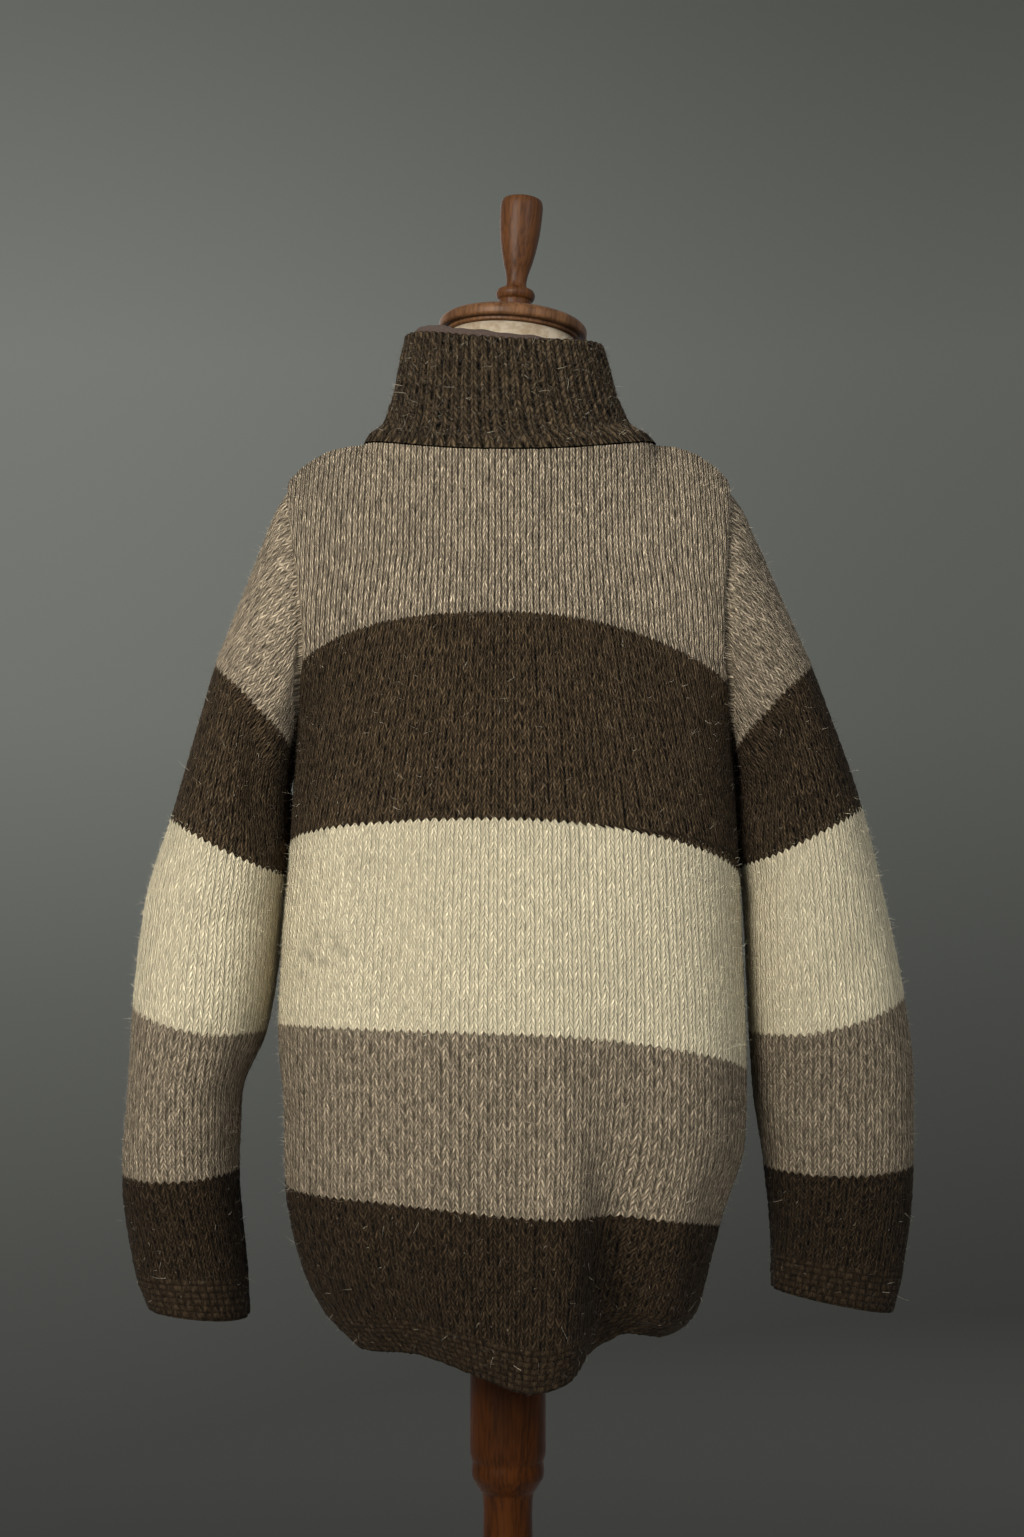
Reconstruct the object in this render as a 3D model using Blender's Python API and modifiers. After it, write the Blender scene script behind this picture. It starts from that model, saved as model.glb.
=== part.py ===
"""Zip-up sweater, hand-knit in thick wool, worn by a limbless dress form of turned wood.

Metres, +Z up. The form's foot stands on z = 0 with its centre at the origin. The zip faces -Y,
the wearer's left is +X. Every piece of cloth is a closed wall lofted through its knitted rows:
a row is half a superellipse in plan, its sizes read from a short table by a smooth curve.
"""
import math
from collections import namedtuple

import bmesh
import bpy
import numpy as np

# Driving sizes of the cloth
COURSE = 0.0050         # height of one knitted row
WALL = 0.0035           # thickness of the knit
GAP = 0.0003            # space between neighbouring pieces
ROUNDNESS = 2.4         # superellipse exponent of the rows of the body
UNDERARM = 101          # row where the armhole starts
YOKE = 115              # row above which the panels bend over the shoulders
TOP = 143               # row of the shoulder and neck seams
ZIP_HALF = 0.0065       # from the middle of the zip to a front's edge
HALF_ROW = 0.25         # about the length of half a row, for the gap at a side seam
ARMHOLE_CLEAR = 0.0002  # added to the gap between a sleeve's head and the body

# Neck and shoulder seams
NECK_SHARE = 0.64       # part of half the back's width that meets the collar
NECK_HALF = {1: 0.1160, -1: 0.1190}
NECK_BACK = (0.093, 1.4044)
NECK_FRONT = (-0.104, 1.350)
NECK_POINT = (0.012, 1.4268)
NECK_POWER = 1.70       # exponent of the neck opening in plan: below 2 it narrows to its sides
NECK_EASE = 0.13        # share of a panel's width over which its top edge's corner is eased
SHOULDER_HALF = {1: 0.1805, -1: 0.1815}
SHOULDER_Y = 0.005
SHOULDER_DROP = 0.0305

# Collar
RIBS = 66
RIB_HEIGHT = 0.0017
COLLAR_TOP_HALF = 0.0766
COLLAR_TOP_X = 0.0029
COLLAR_TOP_BACK = 0.0665
COLLAR_TOP_FRONT = -0.0785
COLLAR_TOP_Z = {"back": 1.4985, "side": 1.5125, "front": 1.4620}
COLLAR_TILT = 0.060     # the top edge is higher on the wearer's left
COLLAR_LIFT = 0.0006    # the collar's lower edge stands this far above the neck seam
COLLAR_CLEAR = 0.0006   # and this far outside it
COLLAR_MIDDLE_Y = -0.006
FACING_WALL = 0.0020
TAPE_HALF = 0.0105
TAPE_WALL = 0.0012
TAPE_START = 1.5        # row of the front where a tape starts
TAPE_SHORT = 0.25       # part of the collar's last row by which a tape ends below its edge
CHAIN_SPLIT = 0.0002    # from the middle of the zip to each half of its chain
CHAIN_HALF = 0.0030
CHAIN_SLOPE = 0.0006    # width over which the chain drops to the tape
CHAIN_HEIGHT = 0.0018

# Dress form
TILT = math.radians(4.0)
NECK_RADIUS = 0.0520
NECK_TOP = 1.5200
NECK_TOP_X = -0.0035

BodyRow = namedtuple("BodyRow", "course back_z front_z left right back front "
                                "cut_back cut_front lift_left lift_right bend")
BODY_ROWS = (
    BodyRow(0, 0.7206, 0.707, 0.121, 0.127, 0.112, 0.112, 0, 0, 0.004, 0.002, 1.6),
    BodyRow(7, 0.7459, 0.740, 0.146, 0.147, 0.127, 0.125, 0, 0, 0.002, -0.005, 1.6),
    BodyRow(14, 0.7756, 0.774, 0.161, 0.155, 0.135, 0.133, 0, 0, 0.002, -0.010, 1.6),
    BodyRow(25, 0.8245, 0.828, 0.174, 0.168, 0.140, 0.140, 0, 0, 0.0135, -0.0125, 1.6),
    BodyRow(38, 0.8872, 0.890, 0.176, 0.186, 0.139, 0.143, 0, 0, 0.012, -0.017, 1.7),
    BodyRow(51, 0.9520, 0.955, 0.181, 0.188, 0.135, 0.143, 0, 0, 0.008, -0.021, 1.8),
    BodyRow(67, 1.0296, 1.032, 0.179, 0.186, 0.128, 0.141, 0, 0, -0.002, -0.025, 2.0),
    BodyRow(84, 1.1107, 1.110, 0.174, 0.184, 0.120, 0.139, 0, 0, -0.014, -0.030, 2.2),
    BodyRow(101, 1.1955, 1.184, 0.171, 0.181, 0.112, 0.135, 0, 0, -0.0265, -0.0345, 2.4),
    BodyRow(108, 1.2321, 1.217, 0.174, 0.184, 0.109, 0.130, 0.042, 0.040, -0.0305, -0.0345, 2.6),
    BodyRow(115, 1.2696, 1.2495, 0.184, 0.1945, 0.106, 0.125, 0.060, 0.056, -0.033, -0.033, 2.8),
)

# The hem hangs lower in two places: where (share of the half width, + is left), how wide, how
# deep, and over how many rows it fades upward
Dip = namedtuple("Dip", "place width depth rows")
DIPS = (
    Dip(-0.08, 0.28, 0.0280, 20.0),
    Dip(0.60, 0.26, 0.0060, 8.0),
)

# Large soft folds of the back: where (share of the half width, + is left), how wide, how deep,
# and the rows between which it fades out
Fold = namedtuple("Fold", "place width depth full_row last_row")
FOLDS = (
    Fold(-0.40, 0.115, -0.013, 8, 92),
    Fold(-0.17, 0.110, 0.005, 8, 80),
    Fold(0.38, 0.120, -0.004, 20, 100),
    Fold(0.68, 0.120, 0.004, 10, 90),
)

SleeveRow = namedtuple("SleeveRow", "course out_x out_z in_x in_z depth sag")
SLEEVE_ROWS = {
    1: (
        SleeveRow(0, 0.2820, 0.7425, 0.2030, 0.7350, 0.0535, 0.000),
        SleeveRow(6, 0.2920, 0.7695, 0.2050, 0.7665, 0.0555, 0.000),
        SleeveRow(23, 0.3033, 0.8485, 0.2130, 0.8505, 0.0655, 0.005),
        SleeveRow(35, 0.2995, 0.9110, 0.2113, 0.9060, 0.0695, 0.008),
        SleeveRow(47, 0.2965, 0.9800, 0.1915, 0.9590, 0.0735, 0.010),
        SleeveRow(60, 0.2880, 1.0575, 0.1820, 1.0195, 0.0765, 0.008),
        SleeveRow(74, 0.2675, 1.1275, 0.1770, 1.0795, 0.0785, 0.004),
        SleeveRow(96, 0.2335, 1.2515, 0.1740, 1.1440, 0.0735, 0.000),
    ),
    -1: (
        SleeveRow(0, 0.3020, 0.7385, 0.2070, 0.7570, 0.0435, 0.000),
        SleeveRow(6, 0.3100, 0.7695, 0.2070, 0.7840, 0.0455, 0.000),
        SleeveRow(23, 0.3200, 0.8550, 0.2020, 0.8530, 0.0525, 0.006),
        SleeveRow(35, 0.3205, 0.9210, 0.1945, 0.9060, 0.0565, 0.009),
        SleeveRow(47, 0.3135, 0.9870, 0.1915, 0.9580, 0.0635, 0.011),
        SleeveRow(60, 0.2985, 1.0645, 0.1895, 1.0245, 0.0695, 0.008),
        SleeveRow(74, 0.2815, 1.1360, 0.1877, 1.0875, 0.0735, 0.004),
        SleeveRow(96, 0.2420, 1.2510, 0.1845, 1.1450, 0.0715, 0.000),
    ),
}
SLEEVE_ROUNDNESS = 2.2
CAP_CREST = 0.0010      # how far the sleeve's head puffs out past a straight loft

# Collar profile: share of its height, share of the way in from the seam to the top edge
CollarRow = namedtuple("CollarRow", "height inset")
COLLAR_ROWS = (
    CollarRow(0.00, 0.00),
    CollarRow(0.16, 0.50),
    CollarRow(0.33, 0.65),
    CollarRow(0.52, 0.78),
    CollarRow(0.76, 0.88),
    CollarRow(1.00, 1.00),
)

# Horizontal slices of the torso: height, half width, half depth, middle in y, roundness, tilt
TorsoRow = namedtuple("TorsoRow", "z half_x half_y mid_y roundness tilt")
TORSO_ROWS = (
    TorsoRow(0.800, 0.143, 0.104, -0.002, 2.3, 0.0),
    TorsoRow(0.860, 0.150, 0.110, -0.002, 2.3, 0.0),
    TorsoRow(0.940, 0.146, 0.104, -0.003, 2.3, 0.0),
    TorsoRow(1.030, 0.124, 0.090, -0.006, 2.3, 0.0),
    TorsoRow(1.120, 0.132, 0.096, -0.008, 2.3, 0.0),
    TorsoRow(1.200, 0.148, 0.100, -0.010, 2.3, 0.0),
    TorsoRow(1.275, 0.152, 0.092, -0.004, 2.3, 0.0),
    TorsoRow(1.325, 0.156, 0.070, 0.004, 2.1, 0.0),
    TorsoRow(1.366, 0.160, 0.047, 0.011, 1.7, 0.0),
    TorsoRow(1.388, 0.163, 0.041, 0.013, 1.35, 0.0),
    TorsoRow(1.4024, 0.157, 0.042, 0.013, 1.2, 0.0),
    TorsoRow(1.4111, 0.146, 0.043, 0.0125, 1.1, 0.0),
    TorsoRow(1.4172, 0.128, 0.044, 0.0110, 1.1, 0.0),
    TorsoRow(1.4255, 0.080, 0.047, 0.006, 1.5, 0.1),
    TorsoRow(1.4420, 0.060, 0.051, -0.003, 2.0, 0.3),
    TorsoRow(NECK_TOP, NECK_RADIUS, NECK_RADIUS, -0.004, 2.0, 1.0),
)

# Turned profiles, outer side from top to bottom: (radius, height)
CAP_PROFILE = ((0.0160, 0.0168), (0.0400, 0.0163), (0.0530, 0.0148), (0.0585, 0.0122),
               (0.0608, 0.0085), (0.0606, 0.0050), (0.0588, 0.0030), (0.0552, 0.0027),
               (0.0548, 0.0004))
FINIAL_PROFILE = ((0.0120, 0.1017), (0.0163, 0.0998), (0.0176, 0.0940), (0.0170, 0.0782),
                  (0.0156, 0.0654), (0.0123, 0.0483), (0.0090, 0.0362), (0.0083, 0.0302),
                  (0.0096, 0.0254), (0.0148, 0.0234), (0.0161, 0.0197), (0.0150, 0.0162),
                  (0.0133, 0.0145), (0.0130, 0.0090), (0.0136, 0.0003))
POLE_PROFILE = ((0.0298, 0.7997), (0.0298, 0.6310), (0.0290, 0.6255), (0.0279, 0.6220),
                (0.0285, 0.6150), (0.0279, 0.6105), (0.0262, 0.6070), (0.0232, 0.6020),
                (0.0205, 0.5980), (0.0196, 0.5930), (0.0191, 0.5820), (0.0208, 0.5350),
                (0.0250, 0.4000),
                (0.0280, 0.2500), (0.0290, 0.1500), (0.0270, 0.0900), (0.0240, 0.0700),
                (0.0330, 0.0640), (0.0350, 0.0560), (0.0330, 0.0480), (0.0420, 0.0400),
                (0.0500, 0.0303))
BASE_PROFILE = ((0.0600, 0.0300), (0.1500, 0.0290), (0.1900, 0.0260), (0.2010, 0.0220),
                (0.2050, 0.0150), (0.2050, 0.0040), (0.2020, 0.0))

COLOURS = {
    "taupe": ((0.205, 0.165, 0.115), 0.95, 0.0),
    "dark": ((0.038, 0.026, 0.015), 0.95, 0.0),
    "facing": ((0.065, 0.038, 0.024), 0.90, 0.0),
    "tape": ((0.030, 0.022, 0.016), 0.85, 0.0),
    "metal": ((0.55, 0.52, 0.46), 0.35, 1.0),
    "linen": ((0.45, 0.36, 0.26), 0.90, 0.0),
    "wood": ((0.130, 0.060, 0.025), 0.35, 0.0),
    "dark_wood": ((0.034, 0.012, 0.004), 0.35, 0.0),
}


def clear_scene():
    for old in list(bpy.data.objects):
        bpy.data.objects.remove(old, do_unlink=True)


def collection(name):
    made = bpy.data.collections.new(name)
    bpy.context.scene.collection.children.link(made)
    return made


def material(name):
    colour, roughness, metallic = COLOURS[name]
    made = bpy.data.materials.get(name)
    if made is None:
        made = bpy.data.materials.new(name)
        made.use_nodes = True
        shader = made.node_tree.nodes["Principled BSDF"]
        shader.inputs["Base Color"].default_value = (*colour, 1.0)
        shader.inputs["Roughness"].default_value = roughness
        shader.inputs["Metallic"].default_value = metallic
    return made


def add_object(name, mesh, look):
    """A named object in the part's collection, with a material of its own."""
    own = material(look).copy()
    own.name = f"{name}_{look}"
    mesh.materials.append(own)
    made = bpy.data.objects.new(name, mesh)
    PARTS.objects.link(made)
    return made


def curve_through(places, values, at):
    """Monotone cubic curve through (places, values), read at one place or at many."""
    places = np.asarray(places, float)
    values = np.asarray(values, float)
    step = np.diff(places)
    slope = np.diff(values) / step
    tangent = np.empty_like(values)
    tangent[0], tangent[-1] = slope[0], slope[-1]
    same_way = slope[:-1] * slope[1:] > 0
    mean = 2 * slope[:-1] * slope[1:] / np.where(same_way, slope[:-1] + slope[1:], 1.0)
    tangent[1:-1] = np.where(same_way, mean, 0.0)
    at = np.asarray(at, float)
    i = np.clip(np.searchsorted(places, at, side="right") - 1, 0, len(step) - 1)
    t = (at - places[i]) / step[i]
    rise = values[i + 1] - values[i]
    start = tangent[i] * step[i]
    end = tangent[i + 1] * step[i]
    return values[i] + t * start + t * t * (3 * rise - 2 * start - end) + t ** 3 * (start + end - 2 * rise)


def column(rows, name, at, key="course"):
    """One column of a table, read between its rows by a smooth curve."""
    return curve_through([getattr(r, key) for r in rows], [getattr(r, name) for r in rows], at)


def smooth_step(low, high, value):
    t = np.clip((value - low) / (high - low), 0.0, 1.0)
    return t * t * (3 - 2 * t)


def resample(points, shares):
    """Points at given shares of the length of a line of points."""
    length = np.concatenate(([0.0], np.cumsum(np.linalg.norm(np.diff(points, axis=0), axis=1))))
    length /= length[-1]
    return np.stack([np.interp(shares, length, points[:, k]) for k in range(points.shape[1])], axis=1)


def fold_depth(share, course):
    """Outward push of the back's folds at signed shares of the half width."""
    total = np.zeros_like(share)
    for fold in FOLDS:
        fade = 1.0 - smooth_step(fold.full_row, fold.last_row, course)
        total += fold.depth * fade * np.exp(-((share - fold.place) / fold.width) ** 2)
    return total


def hem_dip(share, course):
    """How much lower a row of the back hangs at signed shares of the half width."""
    total = np.zeros_like(share)
    for dip in DIPS:
        across = np.exp(-np.abs((share - dip.place) / dip.width) ** 1.6)
        total += dip.depth * math.exp(-course / dip.rows) * across
    return total


def level_row(course, side, face, shares):
    """Half a row below the yoke, from the middle (share 0) to its side edge (share 1)."""
    half = column(BODY_ROWS, "left" if side > 0 else "right", course)
    deep = column(BODY_ROWS, "back" if face > 0 else "front", course)
    cut = column(BODY_ROWS, "cut_back" if face > 0 else "cut_front", course)
    middle_z = column(BODY_ROWS, "back_z" if face > 0 else "front_z", course)
    lift = column(BODY_ROWS, "lift_left" if side > 0 else "lift_right", course)
    edge_z = column(BODY_ROWS, "back_z", course) + lift
    end = math.acos(min(1.0, max(0.0, float(cut / deep))) ** (ROUNDNESS / 2))
    angle = np.linspace(0.0, end, 160)
    x = half * np.sin(angle) ** (2 / ROUNDNESS)
    y = deep * np.clip(np.cos(angle), 0, 1) ** (2 / ROUNDNESS)
    line = np.stack([x, y], axis=1)
    if face < 0:
        first = int(np.argmax(x > ZIP_HALF))
        line = np.concatenate(([[ZIP_HALF, np.interp(ZIP_HALF, x, y)]], line[first:]))
    plan = resample(line, shares)
    if face > 0:
        around = resample(line, np.clip(shares + 0.01, 0, 1)) - resample(line, np.clip(shares - 0.01, 0, 1))
        around /= np.linalg.norm(around, axis=1)[:, None]
        push = fold_depth(side * shares, course)
        plan = plan + push[:, None] * np.stack([-around[:, 1], around[:, 0]], axis=1)
    z = middle_z + (edge_z - middle_z) * shares ** column(BODY_ROWS, "bend", course)
    if face > 0:
        z = z - hem_dip(side * shares, course)
    return np.stack([side * plan[:, 0], face * plan[:, 1], z], axis=1)


def neck_seam(side, face, shares):
    """Seam between a panel and the collar, from the middle (0) to the neck point (1)."""
    middle_y, middle_z = NECK_BACK if face > 0 else NECK_FRONT
    point_y, point_z = NECK_POINT
    start_x = 0.0 if face > 0 else ZIP_HALF
    angle = np.linspace(0.0, math.pi / 2, 80)
    across = np.sin(angle) ** (2 / NECK_POWER)
    x = start_x + (NECK_HALF[side] - start_x) * across
    y = point_y + (middle_y - point_y) * np.clip(np.cos(angle), 0, 1) ** (2 / NECK_POWER)
    z = middle_z + (point_z - middle_z) * across ** 2
    return resample(np.stack([side * x, y, z], axis=1), shares)


def top_edge(side, face, shares):
    """Upper edge of a panel: the neck seam, then the shoulder seam."""
    neck = neck_seam(side, face, np.clip(shares / NECK_SHARE, 0, 1))
    along = np.clip((shares - NECK_SHARE) / (1 - NECK_SHARE), 0, 1)
    x = NECK_HALF[side] + (SHOULDER_HALF[side] - NECK_HALF[side]) * along
    y = NECK_POINT[0] + (SHOULDER_Y - NECK_POINT[0]) * along + face * GAP / 2
    z = NECK_POINT[1] - SHOULDER_DROP * along ** 2.5
    shoulder = np.stack([side * x, y, z], axis=1)
    return np.where((shares > NECK_SHARE)[:, None], shoulder, neck)


def eased_edge(side, face, shares):
    """The top edge with its corner at the neck point spread over the panel's width."""
    reach = np.minimum(NECK_EASE, np.minimum(shares, 1 - shares))
    steps = np.linspace(-1.0, 1.0, 9)
    return sum(top_edge(side, face, shares + reach * step) for step in steps) / len(steps)


def body_row(course, side, face, shares):
    """Half a row of the body: level up to the yoke, bent over the shoulder above it."""
    if course <= YOKE:
        return level_row(course, side, face, shares)
    start = level_row(YOKE, side, face, shares)
    leave = (start - level_row(YOKE - 3, side, face, shares)) / 3
    end = top_edge(side, face, shares)
    over = smooth_step(NECK_SHARE - 0.40, NECK_SHARE + 0.10, shares)[:, None]
    at_neck = np.array([0.0, -0.30 * face, 0.95]) * COURSE
    at_shoulder = np.array([0.0, -0.80 * face, 0.60]) * COURSE
    arrive = at_neck * (1 - over) + at_shoulder * over
    third = (TOP - YOKE) / 3
    t = (course - YOKE) / (TOP - YOKE)
    a = start + leave * third
    b = eased_edge(side, face, shares) - arrive * third
    return (1 - t) ** 3 * start + 3 * t * (1 - t) ** 2 * a + 3 * t * t * (1 - t) * b + t ** 3 * end


def grid_normals(grid, around=False):
    """Unit normals of a fine grid of points: rows run up, columns run to the right of them."""
    if around:
        wrapped = np.concatenate([grid[:, -2:-1], grid, grid[:, 1:2]], axis=1)
        across = np.gradient(wrapped, axis=1)[:, 1:-1]
    else:
        across = np.gradient(grid, axis=1)
    up = np.gradient(grid, axis=0)
    normal = np.cross(across, up)
    return normal / np.maximum(np.linalg.norm(normal, axis=2), 1e-12)[:, :, None]


def wall(name, outer, inner, look, around=False):
    """A closed wall between two grids of points, joined along their free edges."""
    rows, cols = outer.shape[:2]
    mesh = bpy.data.meshes.new(name)
    bm = bmesh.new()
    skins = [[[bm.verts.new(p) for p in row] for row in skin] for skin in (outer, inner)]
    spans = cols if around else cols - 1
    for skin, flip in zip(skins, (False, True)):
        for i in range(rows - 1):
            for j in range(spans):
                k = (j + 1) % cols
                face = [skin[i][j], skin[i][k], skin[i + 1][k], skin[i + 1][j]]
                bm.faces.new(face[::-1] if flip else face)
    out, back = skins
    for j in range(spans):
        k = (j + 1) % cols
        bm.faces.new([out[0][k], out[0][j], back[0][j], back[0][k]])
        bm.faces.new([out[-1][j], out[-1][k], back[-1][k], back[-1][j]])
    if not around:
        for i in range(rows - 1):
            bm.faces.new([out[i][0], out[i + 1][0], back[i + 1][0], back[i][0]])
            bm.faces.new([out[i + 1][-1], out[i][-1], back[i][-1], back[i + 1][-1]])
    bmesh.ops.recalc_face_normals(bm, faces=bm.faces)
    bm.to_mesh(mesh)
    bm.free()
    mesh.shade_smooth()
    return add_object(name, mesh, look)


def thin(values, keep):
    """Every `keep`-th row and column of a fine grid."""
    return values[::keep[0], ::keep[1]]


FINE = 4
BODY_COURSES = (0, 3, 7, 14, 25, 38, 51, 63, 75, 87, 96, 101, 106, 110, 115, 120, 125, 130, 134.5,
                139, TOP)


def refine(steps, parts):
    """Each interval of a list of numbers, cut into equal parts."""
    fine = [a + (b - a) * k / parts for a, b in zip(steps, steps[1:]) for k in range(parts)]
    return np.array(fine + [steps[-1]])


def side_edge_share(course):
    """Share of the half row where the panel stops, half a gap short of its side seam."""
    return 1.0 - (GAP / 2) / HALF_ROW if course <= UNDERARM + 1 else 1.0


def make_back(columns=26):
    courses = refine(BODY_COURSES, FINE)
    shares = np.linspace(0.0, 1.0, columns // 2 * FINE + 1)
    rows = []
    for course in courses:
        edge = side_edge_share(course)
        right = body_row(course, -1, 1, shares * edge)[::-1]
        left = body_row(course, 1, 1, shares * edge)[1:]
        rows.append(np.concatenate([right, left]))
    grid = np.array(rows)
    # Seen from behind the columns run right to left, so the normals are turned outward
    normals = -grid_normals(grid)
    level_seams(normals, courses, (0, -1))
    inner = grid - normals * WALL
    return wall("back", thin(grid, (FINE, FINE)), thin(inner, (FINE, FINE)), "taupe")


def level_seams(normals, courses, edges):
    """Along the side seams and the shoulder seam a wall is cut square, so neighbours meet."""
    for edge in edges:
        below = courses <= UNDERARM + 1
        normals[below, edge, 1] = 0.0
    normals[-1, :, :] = normals[-2, :, :]
    first = -1 if len(edges) == 2 else 0
    shares = np.abs(np.linspace(first, 1, normals.shape[1]))
    cut = smooth_step(NECK_SHARE - 0.14, NECK_SHARE - 0.02, shares)
    normals[-1, :, 1] *= 1 - cut
    normals /= np.linalg.norm(normals, axis=2)[:, :, None]


def make_front(side, columns=11):
    courses = refine(BODY_COURSES, FINE)
    shares = np.linspace(0.0, 1.0, columns * FINE + 1)
    rows = [body_row(c, side, -1, shares * side_edge_share(c)) for c in courses]
    grid = np.array(rows)
    normals = grid_normals(grid) * side
    level_seams(normals, courses, (-1,))
    inner = grid - normals * WALL
    name = "front_left" if side > 0 else "front_right"
    return wall(name, thin(grid, (FINE, FINE)), thin(inner, (FINE, FINE)), "taupe")


def armhole(side, parts=1):
    """Armhole seam, once round from the shoulder: down the back's edge and up the front's.

    Its points are those of the panels' edges, so that the walls meet point to point. Each
    interval between them can be cut into equal parts. Returns the points and their turns.
    """
    courses = [c for c in BODY_COURSES if c >= UNDERARM]
    edges = {face: np.array([body_row(c, side, face, np.array([1.0]))[0] for c in courses])
             for face in (1, -1)}
    loop = np.concatenate([edges[1][::-1], edges[-1][1:]])
    length = np.concatenate(([0.0], np.cumsum(np.linalg.norm(np.diff(loop, axis=0), axis=1))))
    turns = refine(list(length / length[-1]), parts)
    points = np.stack([np.interp(turns, length / length[-1], loop[:, k]) for k in range(3)], axis=1)
    return points + np.array([side * (GAP + ARMHOLE_CLEAR), 0.0, 0.0]), turns


def sleeve_ring(side, course, turns):
    rows = SLEEVE_ROWS[side]
    out_x, out_z = column(rows, "out_x", course), column(rows, "out_z", course)
    in_x, in_z = column(rows, "in_x", course), column(rows, "in_z", course)
    depth, sag = column(rows, "depth", course), column(rows, "sag", course)
    angle = turns * 2 * math.pi
    power = 2 / SLEEVE_ROUNDNESS
    lengthwise = np.sign(np.cos(angle)) * np.abs(np.cos(angle)) ** power
    crosswise = np.sign(np.sin(angle)) * np.abs(np.sin(angle)) ** power
    x = (out_x + in_x) / 2 + (out_x - in_x) / 2 * lengthwise
    z = (out_z + in_z) / 2 + (out_z - in_z) / 2 * lengthwise - sag * np.sin(angle) ** 2
    return np.stack([side * x, depth * crosswise, z], axis=1)


SLEEVE_COURSES = (0, 6, 14, 23, 35, 47, 60, 74, 85, 96)
CAP_STEPS = (0.22, 0.42, 0.62, 0.82, 1.0)


def sleeve_grid(side, courses, caps, parts):
    """Rings of a sleeve from the cuff up to the armhole seam."""
    high, turns = armhole(side, parts)
    rings = [sleeve_ring(side, c, turns) for c in courses]
    low = rings[-1]
    middle = (low + high) / 2
    away = middle - middle.mean(axis=0)
    away /= np.linalg.norm(away, axis=1)[:, None]
    outward = np.clip(np.cos(turns * 2 * math.pi), 0, 1)[:, None]
    for t in caps:
        rings.append(low + (high - low) * t + away * outward * CAP_CREST * math.sin(math.pi * t))
    return np.array(rings)


def make_sleeve(side):
    courses = refine(SLEEVE_COURSES, FINE)
    caps = refine((0.0,) + CAP_STEPS, FINE)[1:]
    grid = sleeve_grid(side, courses, caps, FINE)
    normals = grid_normals(grid, around=True) * side
    # At the seam the wall is cut along the armhole's own plane
    normals[-1, :, 0] = 0.0
    normals /= np.linalg.norm(normals, axis=2)[:, :, None]
    inner = grid - normals * WALL
    name = "sleeve_left" if side > 0 else "sleeve_right"
    return wall(name, thin(grid, (FINE, FINE))[:, :-1], thin(inner, (FINE, FINE))[:, :-1],
                "taupe", around=True)


def neck_loop(turns):
    """Collar seam once round, from the zip (0) by the left neck point and the back to the zip."""
    lines = []
    shares = np.linspace(0.0, 1.0, 60)
    for side, face in ((1, -1), (1, 1), (-1, 1), (-1, -1)):
        line = neck_seam(side, face, shares)
        lines.append(line if (side, face) in ((1, -1), (-1, 1)) else line[::-1])
    return resample(np.concatenate(lines), turns)


def collar_top(turns):
    """Upper edge of the collar once round, level with the neck loop's points."""
    start = math.asin((ZIP_HALF - COLLAR_TOP_X) / COLLAR_TOP_HALF)
    end = math.asin((ZIP_HALF + COLLAR_TOP_X) / COLLAR_TOP_HALF)
    angle = np.linspace(start, 2 * math.pi - end, 361)
    x = COLLAR_TOP_X + COLLAR_TOP_HALF * np.sin(angle)
    ahead = np.cos(angle) > 0
    y = np.where(ahead, COLLAR_TOP_FRONT, -COLLAR_TOP_BACK) * np.cos(angle)
    end_z = np.where(ahead, COLLAR_TOP_Z["front"], COLLAR_TOP_Z["back"])
    z = COLLAR_TOP_Z["side"] + (end_z - COLLAR_TOP_Z["side"]) * np.cos(angle) ** 2 + COLLAR_TILT * x
    return resample(np.stack([x, y, z], axis=1), turns)


def collar_grid(heights, turns):
    """Inner surface of the collar: it laps the neck seam outside and leans in to its top."""
    low = neck_loop(turns)
    away = low[:, :2] - np.array([0.0, COLLAR_MIDDLE_Y])
    away /= np.linalg.norm(away, axis=1)[:, None]
    low = low + np.concatenate([away * COLLAR_CLEAR, np.full((len(turns), 1), COLLAR_LIFT)], axis=1)
    high = collar_top(turns)
    rows = []
    for height in heights:
        inset = column(COLLAR_ROWS, "inset", height, key="height")
        row = low + (high - low) * np.array([inset, inset, height])
        rows.append(row)
    return np.array(rows)


def collar_normals(grid):
    normals = grid_normals(grid)
    # The free edges at the zip stay square to it
    for edge in (0, -1):
        normals[:, edge, 0] = 0.0
    return normals / np.linalg.norm(normals, axis=2)[:, :, None]


def make_collar():
    """Ribs are raised in the outer points; the inner surface is plain."""
    turns = np.linspace(0.0, 1.0, RIBS * 2 + 1)
    heights = refine([r.height for r in COLLAR_ROWS], 2)
    inner = collar_grid(heights, turns)
    normals = collar_normals(inner)
    ridge = np.where(np.arange(len(turns)) % 2 == 1, RIB_HEIGHT, 0.0)
    outer = inner + normals * (WALL + ridge)[None, :, None]
    return wall("collar", outer[::2], inner[::2], "dark")


FACING_START = 0.040    # share of the way round where the facing starts, clear of the zip tape
FACING_DROP = 0.65      # share of its height that the facing loses on the wearer's right
FacingRow = namedtuple("FacingRow", "height inset rise")
FACING_ROWS = (
    FacingRow(0.60, 0.0, 0.0),
    FacingRow(0.80, 0.0, 0.0),
    FacingRow(1.00, 0.0, 0.0008),
    FacingRow(1.00, 0.0015, 0.0050),
    FacingRow(1.00, 0.0060, 0.0085),
    FacingRow(1.00, 0.0120, 0.0092),
)


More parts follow.
